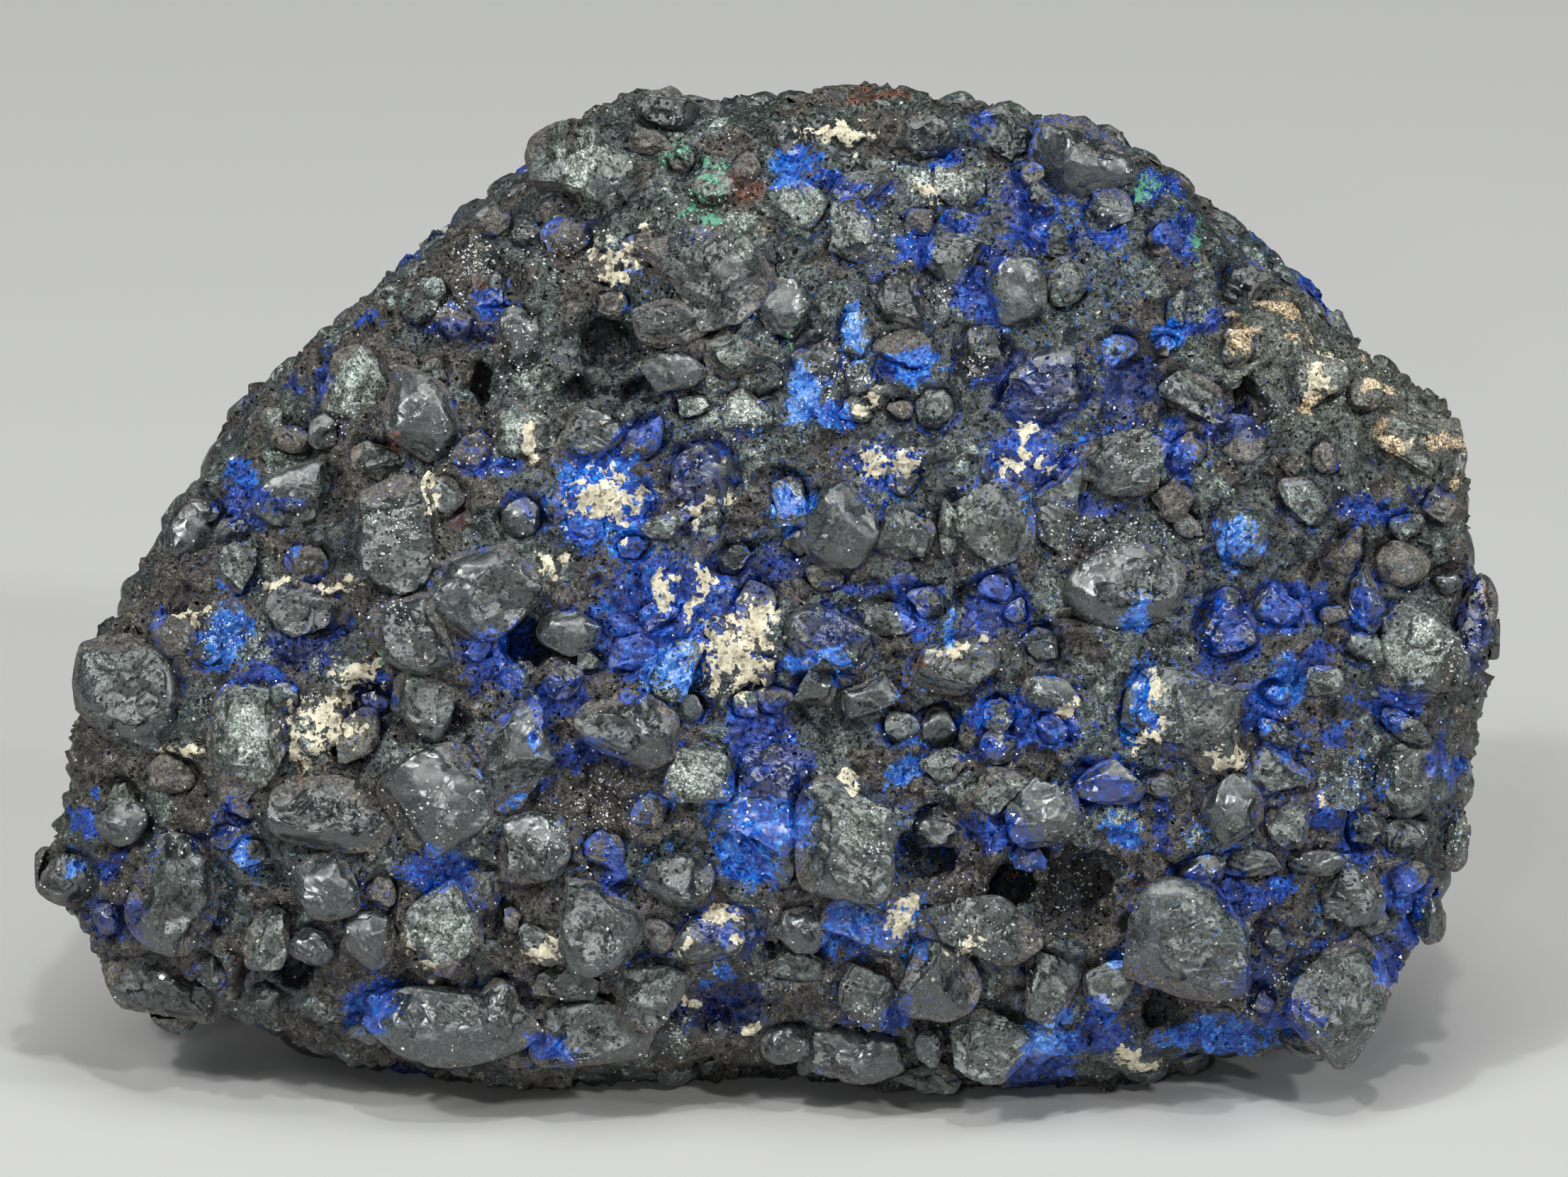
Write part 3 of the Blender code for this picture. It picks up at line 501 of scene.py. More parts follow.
def mineral_masks(points):
    """Masks of the minerals and stains that lie on an array of points, by name, and of pale stone that
    is in part a painted sheen.
    """
    x, y, depth = picture_places(points)
    x = x + 20 * grain(points, 1.5 * MM, 41) + 9 * grain(points, 0.5 * MM, 42)
    y = y + 20 * grain(points, 1.5 * MM, 43) + 9 * grain(points, 0.5 * MM, 44)
    front = np.clip(1 - (depth - 1 * MM) / (3 * MM), 0, 1)
    azurite, which = spread(x, y, AZURITE)
    colour = np.array([spot[4] for spot in AZURITE])[which]
    loose = 0.35 + 0.5 * grain(points, 3 * MM, 5)
    tone = np.where(azurite > 0.3, colour, np.clip(loose, 0, 1))
    dust = np.zeros(len(points))
    for spot in AZURITE_DUST:
        dust = np.maximum(dust, spot[4] * np.clip(1.6 - 1.1 * oval_distance(x, y, spot), 0, 1))
    azurite = np.maximum(azurite, dust + 0.08 * grain(points, 1.6 * MM, 9))
    behind = 0.5 + 0.9 * (0.5 * grain(points, 6 * MM, 3) + 0.5 * grain(points, 2.2 * MM, 4))
    behind -= BACK_AZURITE - 0.5
    clay_behind = 0.5 + grain(points, 4 * MM, 11) - 0.75
    return {
        "azurite": azurite * front + behind * (1 - front),
        "azurite_tone": tone,
        "clay": spread(x, y, CLAY)[0] * front + clay_behind * (1 - front),
        "malachite": spread(x, y, MALACHITE)[0] * front,
        "weathered": spread(x, y, WEATHERED)[0],
        "rust": spread(x, y, RUST)[0] * front,
        "tan": spread(x, y, TAN)[0] * front,
        "pale_and_painted_sheen": smoothstep(spread(x, y, PALE_AND_PAINTED_SHEEN)[0] * front, 0.4, 0.75),
    }


def set_masks(mesh, masks):
    """Store masks on the points of a mesh, as float attributes."""
    for name, values in masks.items():
        layer = mesh.attributes.new(name, "FLOAT", "POINT")
        layer.data.foreach_set("value", np.ascontiguousarray(values, np.float32))


def point_array(mesh, key="co"):
    """The points of a mesh, or their normals, as an array."""
    flat = np.zeros(len(mesh.vertices) * 3, np.float32)
    mesh.vertices.foreach_get(key, flat)
    return flat.reshape(-1, 3).astype(float)


def smoothstep(values, start, end):
    """0 before start, 1 after end, and a smooth step between."""
    share = np.clip((values - start) / (end - start), 0, 1)
    return share * share * (3 - 2 * share)


# The films that lie on every stone alike: crusts and specks of azurite, cream clay, malachite, and
# tan and rusty stains. They grew or settled on the ore and the pebbles together, so one shader
# group, with ragged edges from noise, lays them over either.
def put(tree, value, socket):
    """Give a socket a plain value, or link another node's output to it."""
    if isinstance(value, bpy.types.NodeSocket):
        tree.links.new(value, socket)
    else:
        socket.default_value = value


def add_node(tree, kind, inputs, **settings):
    """A shader node with its settings, each input a plain value or another node's output."""
    node = tree.nodes.new("ShaderNode" + kind)
    for key, value in settings.items():
        setattr(node, key, value)
    for key, value in inputs.items():
        put(tree, value, node.inputs[key])
    return node


def object_place(tree):
    """The place on the object."""
    return add_node(tree, "TexCoord", {}).outputs["Object"]


def noise_node(tree, size, detail=3.0, rough=0.6, kind="FBM"):
    """Noise over the object, in grains of this size."""
    return add_node(tree, "TexNoise", {
        "Vector": object_place(tree), "Scale": 1 / size, "Detail": detail, "Roughness": rough
    }, noise_type=kind).outputs["Fac"]


def maths(tree, operation, *values):
    """A Math node between sockets or plain numbers."""
    return add_node(tree, "Math", dict(enumerate(values)), operation=operation).outputs[0]


def scaled(tree, value, factor, offset):
    """A value times a factor plus an offset."""
    return maths(tree, "MULTIPLY_ADD", value, factor, offset)


def vector_maths(tree, operation, *values):
    """A Vector Math node between sockets or plain vectors."""
    return add_node(tree, "VectorMath", dict(enumerate(values)), operation=operation).outputs[0]


def blended(tree, factor, first, second):
    """A colour Mix node between sockets or plain colours."""
    return add_node(tree, "Mix", {0: factor, 6: first, 7: second}, data_type="RGBA").outputs[2]


def attribute(tree, name, output="Fac"):
    """An attribute of the mesh."""
    return add_node(tree, "Attribute", {}, attribute_name=name).outputs[output]


def parted(tree, colour):
    """The three parts of a colour."""
    return add_node(tree, "SeparateColor", {"Color": colour}).outputs


def ragged(tree, value, size, strength, softness, detail=2.0):
    """A mask with a ragged edge where value passes one half."""
    rough = maths(tree, "SUBTRACT", noise_node(tree, size, detail, 0.7), 0.5)
    return add_node(tree, "MapRange", {
        "Value": scaled(tree, rough, strength, value),
        "From Min": 0.5 - softness, "From Max": 0.5 + softness,
    }, interpolation_type="SMOOTHSTEP").outputs["Result"]


def ramp(tree, factor, stops):
    """A colour ramp through the stops (place, colour)."""
    node = add_node(tree, "ValToRGB", {"Fac": factor})
    elements = node.color_ramp.elements
    for end in (0, -1):
        elements[end].position, elements[end].color = stops[end]
    for place, colour in stops[1:-1]:
        elements.new(place).color = colour
    return node.outputs["Color"]


HALVES = (0.5, 0.5, 0.5)            # taken off a random colour, it leaves a random direction


def flaked(tree, size, lean, bent=False):
    """Height in metres of flat flakes of this size, each with its own lean, and a random value."""
    place = object_place(tree)
    if bent:
        wobble = add_node(tree, "TexNoise", {"Vector": place, "Scale": 1.2 / size, "Detail": 0.0})
        place = vector_maths(tree, "MULTIPLY_ADD", wobble.outputs["Color"], (size,) * 3, place)
    cells = add_node(tree, "TexVoronoi", {"Vector": place, "Scale": 1 / size}).outputs
    away = vector_maths(tree, "SUBTRACT", place, cells["Position"])
    slope = vector_maths(tree, "SUBTRACT", cells["Color"], HALVES)
    along = add_node(tree, "VectorMath", {0: away, 1: slope}, operation="DOT_PRODUCT")
    return maths(tree, "MULTIPLY", along.outputs["Value"], lean), parted(tree, cells["Color"])[1]


AZURITE_BLUES = [
    (0.0, (0.002, 0.008, 0.045, 1)), (0.3, (0.002, 0.020, 0.16, 1)),
    (0.6, (0.004, 0.052, 0.36, 1)), (0.85, (0.008, 0.16, 0.58, 1)),
    (1.0, (0.12, 0.25, 0.58, 1)),
]
CLAY_COLOUR = (0.80, 0.73, 0.56, 1)
CLAY_DARK = (0.36, 0.30, 0.20, 1)
MALACHITE_COLOUR = (0.10, 0.33, 0.21, 1)
SLATE_COLOUR = (0.075, 0.080, 0.064, 1)
TAN_COLOUR = (0.36, 0.27, 0.165, 1)
RUST_COLOUR = (0.085, 0.030, 0.015, 1)
CRYSTAL_CELL = 0.18 * MM            # size of the flat crystal faces in the films and the ore

film = bpy.data.node_groups.new("mineral_film", "ShaderNodeTree")
for way, socket, kind in (
    ("INPUT", "Stone", "NodeSocketColor"), ("INPUT", "Roughness", "NodeSocketFloat"),
    ("OUTPUT", "Color", "NodeSocketColor"), ("OUTPUT", "Roughness", "NodeSocketFloat"),
    ("OUTPUT", "Cells", "NodeSocketColor"),
):
    film.interface.new_socket(name=socket, in_out=way, socket_type=kind)
under = film.nodes.new("NodeGroupInput").outputs
film_out = film.nodes.new("NodeGroupOutput")

share = attribute(film, "azurite")
blue_mask = ragged(film, share, 0.55 * MM, 1.5, 0.04, 3.0)
specks = scaled(film, share, 0.38, noise_node(film, 0.15 * MM, 1.0))
blue_mask = maths(film, "MAXIMUM", blue_mask, maths(film, "GREATER_THAN", specks, 0.78))
clay_share = maths(film, "SUBTRACT", attribute(film, "clay"), 0.06)
clay_mask = ragged(film, clay_share, 0.7 * MM, 2.4, 0.03, 2.5)
green_share = maths(film, "SUBTRACT", attribute(film, "malachite"), 0.14)
green_mask = ragged(film, green_share, 0.30 * MM, 2.2, 0.03)
slate_mask = ragged(film, attribute(film, "weathered"), 1.0 * MM, 1.2, 0.2)
tan_mask = ragged(film, attribute(film, "tan"), 0.6 * MM, 1.0, 0.08)
rust_mask = ragged(film, attribute(film, "rust"), 0.5 * MM, 0.5, 0.1)

cells = add_node(film, "TexVoronoi", {"Vector": object_place(film), "Scale": 1 / CRYSTAL_CELL})
cells = cells.outputs["Color"]
cell_value = parted(film, cells)
cloudy = maths(film, "SUBTRACT", noise_node(film, 0.9 * MM, 2.0), 0.5)
tone = scaled(film, cloudy, 1.2, attribute(film, "azurite_tone"))
tone = scaled(film, maths(film, "SUBTRACT", cell_value[0], 0.5), 0.40, tone)
blue = ramp(film, tone, AZURITE_BLUES)
veins = noise_node(film, 0.45 * MM, 3.0, 0.75)
cream = ramp(film, veins, [(0.40, CLAY_COLOUR), (0.68, CLAY_DARK)])

stone = blended(film, maths(film, "MULTIPLY", slate_mask, 0.6), under["Stone"], SLATE_COLOUR)
stone = blended(film, tan_mask, stone, TAN_COLOUR)
stone = blended(film, maths(film, "MULTIPLY", rust_mask, 0.85), stone, RUST_COLOUR)
stone = blended(film, blue_mask, stone, blue)
# Fine light and dark freckles, weaker on azurite, with a painted sparkle here and there: a bright speck
# that stands in for a glint.
freckle = scaled(film, noise_node(film, 0.11 * MM, 0.0), 5.0, -1.25)
painted_sparkle = maths(film, "MULTIPLY", maths(film, "GREATER_THAN", cell_value[2], 0.93), 1.6)
freckle = maths(film, "ADD", maths(film, "MAXIMUM", freckle, 0.22), painted_sparkle)
even_blue = maths(film, "MULTIPLY", blue_mask, 0.6)
freckle = scaled(film, maths(film, "SUBTRACT", 1.15, freckle), even_blue, freckle)
freckled = add_node(film, "HueSaturation", {"Color": stone, "Value": freckle})
stone = blended(film, clay_mask, freckled.outputs["Color"], cream)
stone = blended(film, green_mask, stone, MALACHITE_COLOUR)
worn = scaled(film, clay_mask, 0.4, under["Roughness"])
worn = scaled(film, blue_mask, -0.10, worn)
for socket, value in (("Color", stone), ("Roughness", worn), ("Cells", cells)):
    put(film, value, film_out.inputs[socket])


def with_film(tree, stone, roughness):
    """The outputs of the mineral film, laid over a stone's colour and roughness."""
    return add_node(tree, "Group", {"Stone": stone, "Roughness": roughness}, node_tree=film).outputs


def glint_normals(tree, cells, turn, share, base_normal):
    """Normals that tilt at random on a share of the crystal cells, and which cells those are."""
    chosen = maths(tree, "LESS_THAN", parted(tree, cells)[2], share)
    centred = vector_maths(tree, "SUBTRACT", cells, HALVES)
    amount = maths(tree, "MULTIPLY", chosen, turn)
    tilt = add_node(tree, "VectorMath", {0: centred, "Scale": amount}, operation="SCALE").outputs[0]
    turned = vector_maths(tree, "ADD", base_normal, tilt)
    return vector_maths(tree, "NORMALIZE", turned), chosen


def bumped(tree, height):
    """A Bump node over a height in metres."""
    return add_node(tree, "Bump", {"Height": height, "Strength": 1.0, "Distance": 1.0}).outputs["Normal"]


def new_material(name):
    """A Principled material and its node tree."""
    material = bpy.data.materials.new(name)
    material.use_nodes = True
    return material, material.node_tree


def dress(tree, inputs):
    """Give the inputs of a material's Principled shader."""
    shader = tree.nodes["Principled BSDF"]
    for key, value in inputs.items():
        put(tree, value, shader.inputs[key])


# The ore's own stuff: dull brown-black soot with flat glassy bits of broken pebbles in it, painted
# shade near black in its hollows, pores and holes and along the pebbles' edges, and the mineral film
# over it all.
FRESH_DARK = (0.012, 0.016, 0.016, 1)
FRESH_GREY = (0.040, 0.052, 0.047, 1)
FRESH_LIGHT = (0.37, 0.42, 0.38, 1)
SOOT_DARK = (0.019, 0.018, 0.016, 1)
SOOT_BROWN = (0.062, 0.053, 0.043, 1)
SOOT_GREY = (0.17, 0.155, 0.13, 1)
PAINTED_SHADE_BLACK = (0.009, 0.011, 0.012, 1)

sooty_ore, tree = new_material("sooty_ore")
soot = ramp(tree, noise_node(tree, 0.7 * MM, 4.0, 0.78), [
    (0.34, SOOT_DARK), (0.54, SOOT_BROWN), (0.72, SOOT_GREY)
])
flakes, flake = flaked(tree, 0.42 * MM, 1.1)
stony = ragged(tree, attribute(tree, "fragment"), 0.5 * MM, 0.7, 0.06)
streaks = noise_node(tree, 0.5 * MM, 4.0, 0.78)
mottle = scaled(tree, flake, 0.16, maths(tree, "MULTIPLY", streaks, 0.62))
mottle = scaled(tree, attribute(tree, "lightness"), 0.42, mottle)
fragment = ramp(tree, mottle, [(0.42, FRESH_DARK), (0.68, FRESH_GREY), (1.0, FRESH_LIGHT)])
soot = blended(tree, stony, soot, fragment)
# Painted shade: the ore turns near black where its hollows, pores, holes and pebble edges are marked.
soot = blended(tree, attribute(tree, "painted_hollow_shade"), soot, PAINTED_SHADE_BLACK)
over = with_film(tree, soot, scaled(tree, stony, -0.3, 0.62))
height = scaled(tree, noise_node(tree, 0.22 * MM, 3.0, 0.8), 0.20 * MM, flakes)
calm = maths(tree, "MAXIMUM", scaled(tree, attribute(tree, "clay"), -1.2, 1.0), 0.2)
calm = scaled(tree, attribute(tree, "fragment"), -0.4, calm)
height = maths(tree, "MULTIPLY", height, maths(tree, "MAXIMUM", calm, 0.15))
normal, chosen = glint_normals(tree, over["Cells"], 1.5, 0.20, bumped(tree, height))
shine = scaled(tree, flake, -0.14, maths(tree, "MULTIPLY", chosen, -0.46))
dress(tree, {
    "Base Color": over["Color"], "Roughness": maths(tree, "ADD", over["Roughness"], shine),
    "Normal": normal, "Specular IOR Level": 0.8,
})


worn_mesh = bpy.data.meshes.new("worn_block")
solid.to_mesh(worn_mesh)
solid.free()
worn_block = add_object("worn_block", worn_mesh)
remesh = worn_block.modifiers.new("even", "REMESH")
remesh.mode = "VOXEL"
remesh.voxel_size = SOOTY_GRAIN
wear = worn_block.modifiers.new("wear", "SMOOTH")
wear.iterations = WEAR_PASSES
wear.factor = 0.6
graph = bpy.context.evaluated_depsgraph_get()
worn_even = bpy.data.meshes.new_from_object(worn_block.evaluated_get(graph))
bpy.data.objects.remove(worn_block)


def stony_share(x, y):
    """How far a place lies in the stonier part of the face, from 0 to 1."""
    return np.clip(1.5 - oval_distance(x, y, STONY_PART), 0, 1)


def roughened(mesh):
    """Push the points of a mesh in and out along their normals, as porous ore. With its masks, among
    them painted shade in its hollows, pores, holes and along pebble edges.
    """
    points = point_array(mesh)
    normals = point_array(mesh, "normal")
    x, y, depth = picture_places(points)
    gap = nearest_pebble(x, y, PEBBLES + SMALL_PEBBLES + fill_pebbles)
    front = smoothstep(-depth, -3 * MM, 0)
    edge = np.exp(-(gap / 9) ** 2) * front
    lumps, kind = chunks(points, FRAGMENT, 27)
    splinters, lightness = chunks(points, SPLINTER, 28)
    stony = (kind > SOOT_SHARE - STONY_PART[4] * stony_share(x, y)).astype(float)
    height = np.zeros(len(points))
    for number, (size, amount) in enumerate(CRUMBS):
        height += (np.abs(grain(points, size, 20 + number)) * 2.4 - 0.6) * amount
    height *= 1 - 0.6 * stony
    height += lumps * FRAGMENT_RISE + splinters * SPLINTER_RISE
    pores = smoothstep(grain(points, PORE_SIZE, 31), 0.2, 0.6) * (1 - 0.8 * stony)
    patchy = 0.3 + 0.7 * smoothstep(grain(points, 5 * MM, 33), -0.3, 0.4)
    height -= pores * patchy * PORE_DEPTH
    height -= (SEAT_DEPTH * smoothstep(-gap, -14, 12) + ORE_SINK) * front
    ragged_x = x + 12 * grain(points, 0.7 * MM, 61)
    ragged_y = y + 12 * grain(points, 0.7 * MM, 62)
    # The holes sink into the ore, and painted shade darkens them the more, the deeper they go.
    painted_hole_shade = np.zeros(len(points))
    for hole in HOLES:
        inside = (1 - smoothstep(oval_distance(ragged_x, ragged_y, hole), 0.5, 1.25)) * front
        height -= inside * hole[4] * MM
        painted_hole_shade = np.maximum(painted_hole_shade, inside * min(1, hole[4] / 2))
    minerals = mineral_masks(points)
    clay = smoothstep(minerals["clay"], 0.4, 0.6)
    pale_and_painted_sheen = minerals["pale_and_painted_sheen"]
    height = height * (1 - 0.7 * clay) + 0.1 * MM * clay
    moved = points + normals * height[:, None]
    # Painted shade: the ore is darkened the lower it lies, in its pores, near pebble edges and in the
    # holes.
    shade = smoothstep(-height, 0.1 * MM, 0.9 * MM) * 0.6
    # Pale patches raise the lightness of the ore's broken bits, in part as painted sheen.
    return moved, {
        "painted_hollow_shade": np.clip(pores * patchy * 0.4 + 0.3 * edge + 0.8 * painted_hole_shade + 0.5 * shade, 0, 1),
        "fragment": np.maximum(stony, pale_and_painted_sheen),
        "lightness": (kind * 7.3 % 1) * 0.6 + 0.3 * lightness + 0.45 * pale_and_painted_sheen,
        "edge": edge,
    }


FLAT_BAND = 0.12 * MM               # points this low stay so, as part of the flat resting face


def in_box(points):
    """The same points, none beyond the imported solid's box."""
    return np.clip(points, np.array(cad_low), np.array(cad_high))


def place_piece(mesh, material):
    """Put a finished mesh in the scene, as a piece that rides the specimen's one body."""
    mesh.materials.append(material)
    piece = add_object(mesh.name, mesh)
    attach(piece, "root")
    return piece


def block_piece(name, keep, cuts):
    """One piece of the block: the faces that keep chooses by picture place and depth."""
    bm = bmesh.new()
    bm.from_mesh(worn_even)
    centres = np.array([face.calc_center_median() for face in bm.faces])
    x, y, depth = picture_places(centres)
    outside = [face for face, kept in zip(bm.faces[:], keep(x, y, depth)) if not kept]
    bmesh.ops.delete(bm, geom=outside, context="FACES")
    if cuts:
        bmesh.ops.subdivide_edges(bm, edges=bm.edges[:], cuts=cuts, use_grid_fill=True, smooth=0.6)
    mesh = bpy.data.meshes.new(name)
    bm.to_mesh(mesh)
    bm.free()
    moved, own_masks = roughened(mesh)
    flat = point_array(mesh)[:, 2] < FLAT_BAND
    moved[flat, 2] = np.minimum(moved[flat, 2], FLAT_BAND)
    moved = in_box(moved)
    mesh.vertices.foreach_set("co", moved.astype(np.float32).ravel())
    mesh.update()
    masks = mineral_masks(moved)
    masks.update(own_masks)
    masks["azurite"] += 0.14 * masks.pop("edge") * (1 + grain(moved, 2.5 * MM, 51))
    set_masks(mesh, masks)
    mesh.shade_smooth()
    return place_piece(mesh, sooty_ore)


MIDDLE_ROW = 880
MIDDLE_COLUMN = 1100
back_ore = block_piece("back_ore", lambda x, y, depth: depth >= FRONT_MARGIN, 0)
for name, above, left in (
    ("upper_left_ore", True, True), ("upper_right_ore", True, False),
    ("lower_left_ore", False, True), ("lower_right_ore", False, False),
):
    block_piece(name, lambda x, y, depth: (
        (depth < FRONT_MARGIN) & ((y < MIDDLE_ROW) == above) & ((x < MIDDLE_COLUMN) == left)
    ), 1)
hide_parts("azurite_specimen")


# A pebble is hard black copper ore, worn round before nature cemented it in. Its rind is dark and
# smooth, and a break is lighter, flaky and glassy, with flat or scooped facets and fine striae.
LUMPY = 0.16                        # how far the round form swells and sinks, as a share of its size
FACETS = 15
SCOOP = 0.16                        # depth of the hollow in a broken facet, in half sizes
RELIEF = [(0.9 * MM, 0.11 * MM), (0.42 * MM, 0.06 * MM)]    # size and height of its roughness

RIND_DARK = (0.012, 0.015, 0.017, 1)
RIND_GREY = (0.024, 0.031, 0.031, 1)
RIND_LIGHT = (0.082, 0.106, 0.104, 1)
LUSTRE = 1.60                       # refractive index of the ore's glassy minerals
STRIAE = (1 / (2.2 * MM), 1 / (0.34 * MM), 1 / (0.7 * MM))

pebble_stone, tree = new_material("pebble_stone")
light = attribute(tree, "lightness")
flakes, flake = flaked(tree, 1.15 * MM, 0.85, True)
drawn_out = vector_maths(tree, "MULTIPLY", attribute(tree, "own_place", "Vector"), STRIAE)
striae = add_node(tree, "TexNoise", {
    "Vector": drawn_out, "Scale": 1.0, "Detail": 2.0, "Roughness": 0.6
}, noise_type="RIDGED_MULTIFRACTAL").outputs["Fac"]
clouds = noise_node(tree, 1.1 * MM, 4.0, 0.7)
rind = ramp(tree, scaled(tree, light, 0.45, maths(tree, "MULTIPLY", clouds, 0.6)), [
    (0.25, RIND_DARK), (0.5, RIND_GREY), (0.85, RIND_LIGHT)
])
streaks = noise_node(tree, 0.5 * MM, 4.0, 0.78)
hackly = noise_node(tree, 0.45 * MM, 2.0, 0.6, "RIDGED_MULTIFRACTAL")
mottle = maths(tree, "MULTIPLY", streaks, 0.52)
for value, amount in ((flake, 0.14), (hackly, 0.06), (striae, 0.11), (light, 0.40)):
    mottle = scaled(tree, value, amount, mottle)
fresh = ramp(tree, mottle, [(0.42, FRESH_DARK), (0.66, FRESH_GREY), (1.0, FRESH_LIGHT)])
broken_mask = ragged(tree, attribute(tree, "broken"), 0.8 * MM, 0.9, 0.15)
stone = blended(tree, broken_mask, rind, fresh)
base_share = maths(tree, "SUBTRACT", attribute(tree, "base"), 0.12)
soiled = ragged(tree, base_share, 0.7 * MM, 1.1, 0.12)
stone = blended(tree, soiled, stone, SOOT_BROWN)
glassy = scaled(tree, soiled, 0.35, scaled(tree, flake, 0.26, 0.25))
over = with_film(tree, stone, glassy)
# Its rind is nearly even, and it is rough and glinting where it is broken or ore sticks to it.
rough_zone = maths(tree, "MAXIMUM", attribute(tree, "broken"), attribute(tree, "base"))
rough_zone = maths(tree, "MINIMUM", rough_zone, 1.0)
even = maths(tree, "MULTIPLY", flakes, 0.42)
for value, height in ((hackly, 0.020 * MM), (striae, 0.025 * MM)):
    even = scaled(tree, value, height, even)
uneven = flakes
for value, height in ((hackly, 0.07 * MM), (streaks, 0.10 * MM), (striae, 0.13 * MM)):
    uneven = scaled(tree, value, height, uneven)
uneven = maths(tree, "SUBTRACT", uneven, even)
plain = bumped(tree, scaled(tree, uneven, rough_zone, even))
normal, _ = glint_normals(tree, over["Cells"], 1.2, 0.16, plain)
pick = add_node(tree, "Mix", {0: rough_zone, 4: plain, 5: normal}, data_type="VECTOR")
dress(tree, {
    "Base Color": over["Color"], "Roughness": over["Roughness"], "Normal": pick.outputs[1],
    "Specular IOR Level": 1.0, "IOR": LUSTRE,
})

ball_shapes = {}


def ball_shape(level):
    """The points of a unit ball of this fineness, in the order that the operator makes them."""
    if level not in ball_shapes:
        ball = bmesh.new()
        bmesh.ops.create_icosphere(ball, subdivisions=level, radius=1)
        ball_shapes[level] = np.array([vert.co for vert in ball.verts])
        ball.free()
    return ball_shapes[level]


def pebble_points(level, halves, turn, broken, dice):
    """Points of one pebble about its centre, x across, y up, z towards the viewer."""
    points = ball_shape(level).copy()
    power = dice.uniform(2.0, 2.5)
    way = Vector([dice.gauss(0, 1) for _ in range(3)])
    spin = np.array(Matrix.Rotation(dice.uniform(0, math.tau), 3, way))
    points = points @ spin
    points /= (np.abs(points) ** power).sum(axis=1)[:, None] ** (1 / power)
    points = points @ spin.T
    seed = dice.randrange(1000)
    points *= 1 + LUMPY * grain(points + 5, 0.9, seed)[:, None]
    fresh = np.zeros(len(points))
    for number in range(FACETS):
        way = np.array([dice.gauss(0, 1) for _ in range(3)])
        way[2] = abs(way[2]) if number % 2 else way[2]
        flat_front = number == 0 and broken >= 0.5
        if flat_front:
            way = np.array((0.2 * way[0], 0.2 * way[1], 1))
        way /= np.linalg.norm(way)
        split = flat_front or dice.random() < broken * 0.8
        proud = points @ way - (dice.uniform(0.56, 0.80) if split else dice.uniform(0.72, 0.90))
        edge = 0.03 if split else 0.08
        cut = 0.5 * (proud + np.sqrt(proud ** 2 + edge ** 2))
        if split:
            fresh = np.maximum(fresh, smoothstep(proud, -0.01, 0.06))
            off = points - np.outer(points @ way, way)
            cut += SCOOP * smoothstep(proud, 0, 0.25) * np.clip(0.6 - (off ** 2).sum(axis=1), 0, 1)
        points -= np.outer(cut, way)
    points /= np.abs(points).max(axis=0)
    points = points * np.array(halves)
    outward = points / np.linalg.norm(points, axis=1)[:, None]
    shift = seed * 0.011
    relief = np.zeros(len(points))
    for number, (size, amount) in enumerate(RELIEF):
        relief += (np.abs(grain(points + shift, size, seed + number)) * 2.4 - 0.6) * amount
    crack = np.exp(-(grain(points + shift, 2.2 * MM, seed + 7) / 0.035) ** 2)
    depth = relief * (0.35 + 0.65 * fresh) - 0.13 * MM * crack * dice.choice((0.2, 1))
    points = points + outward * depth[:, None]
    turned = np.array(Matrix.Rotation(-math.radians(turn), 3, "Z"))
    return points @ turned.T, fresh


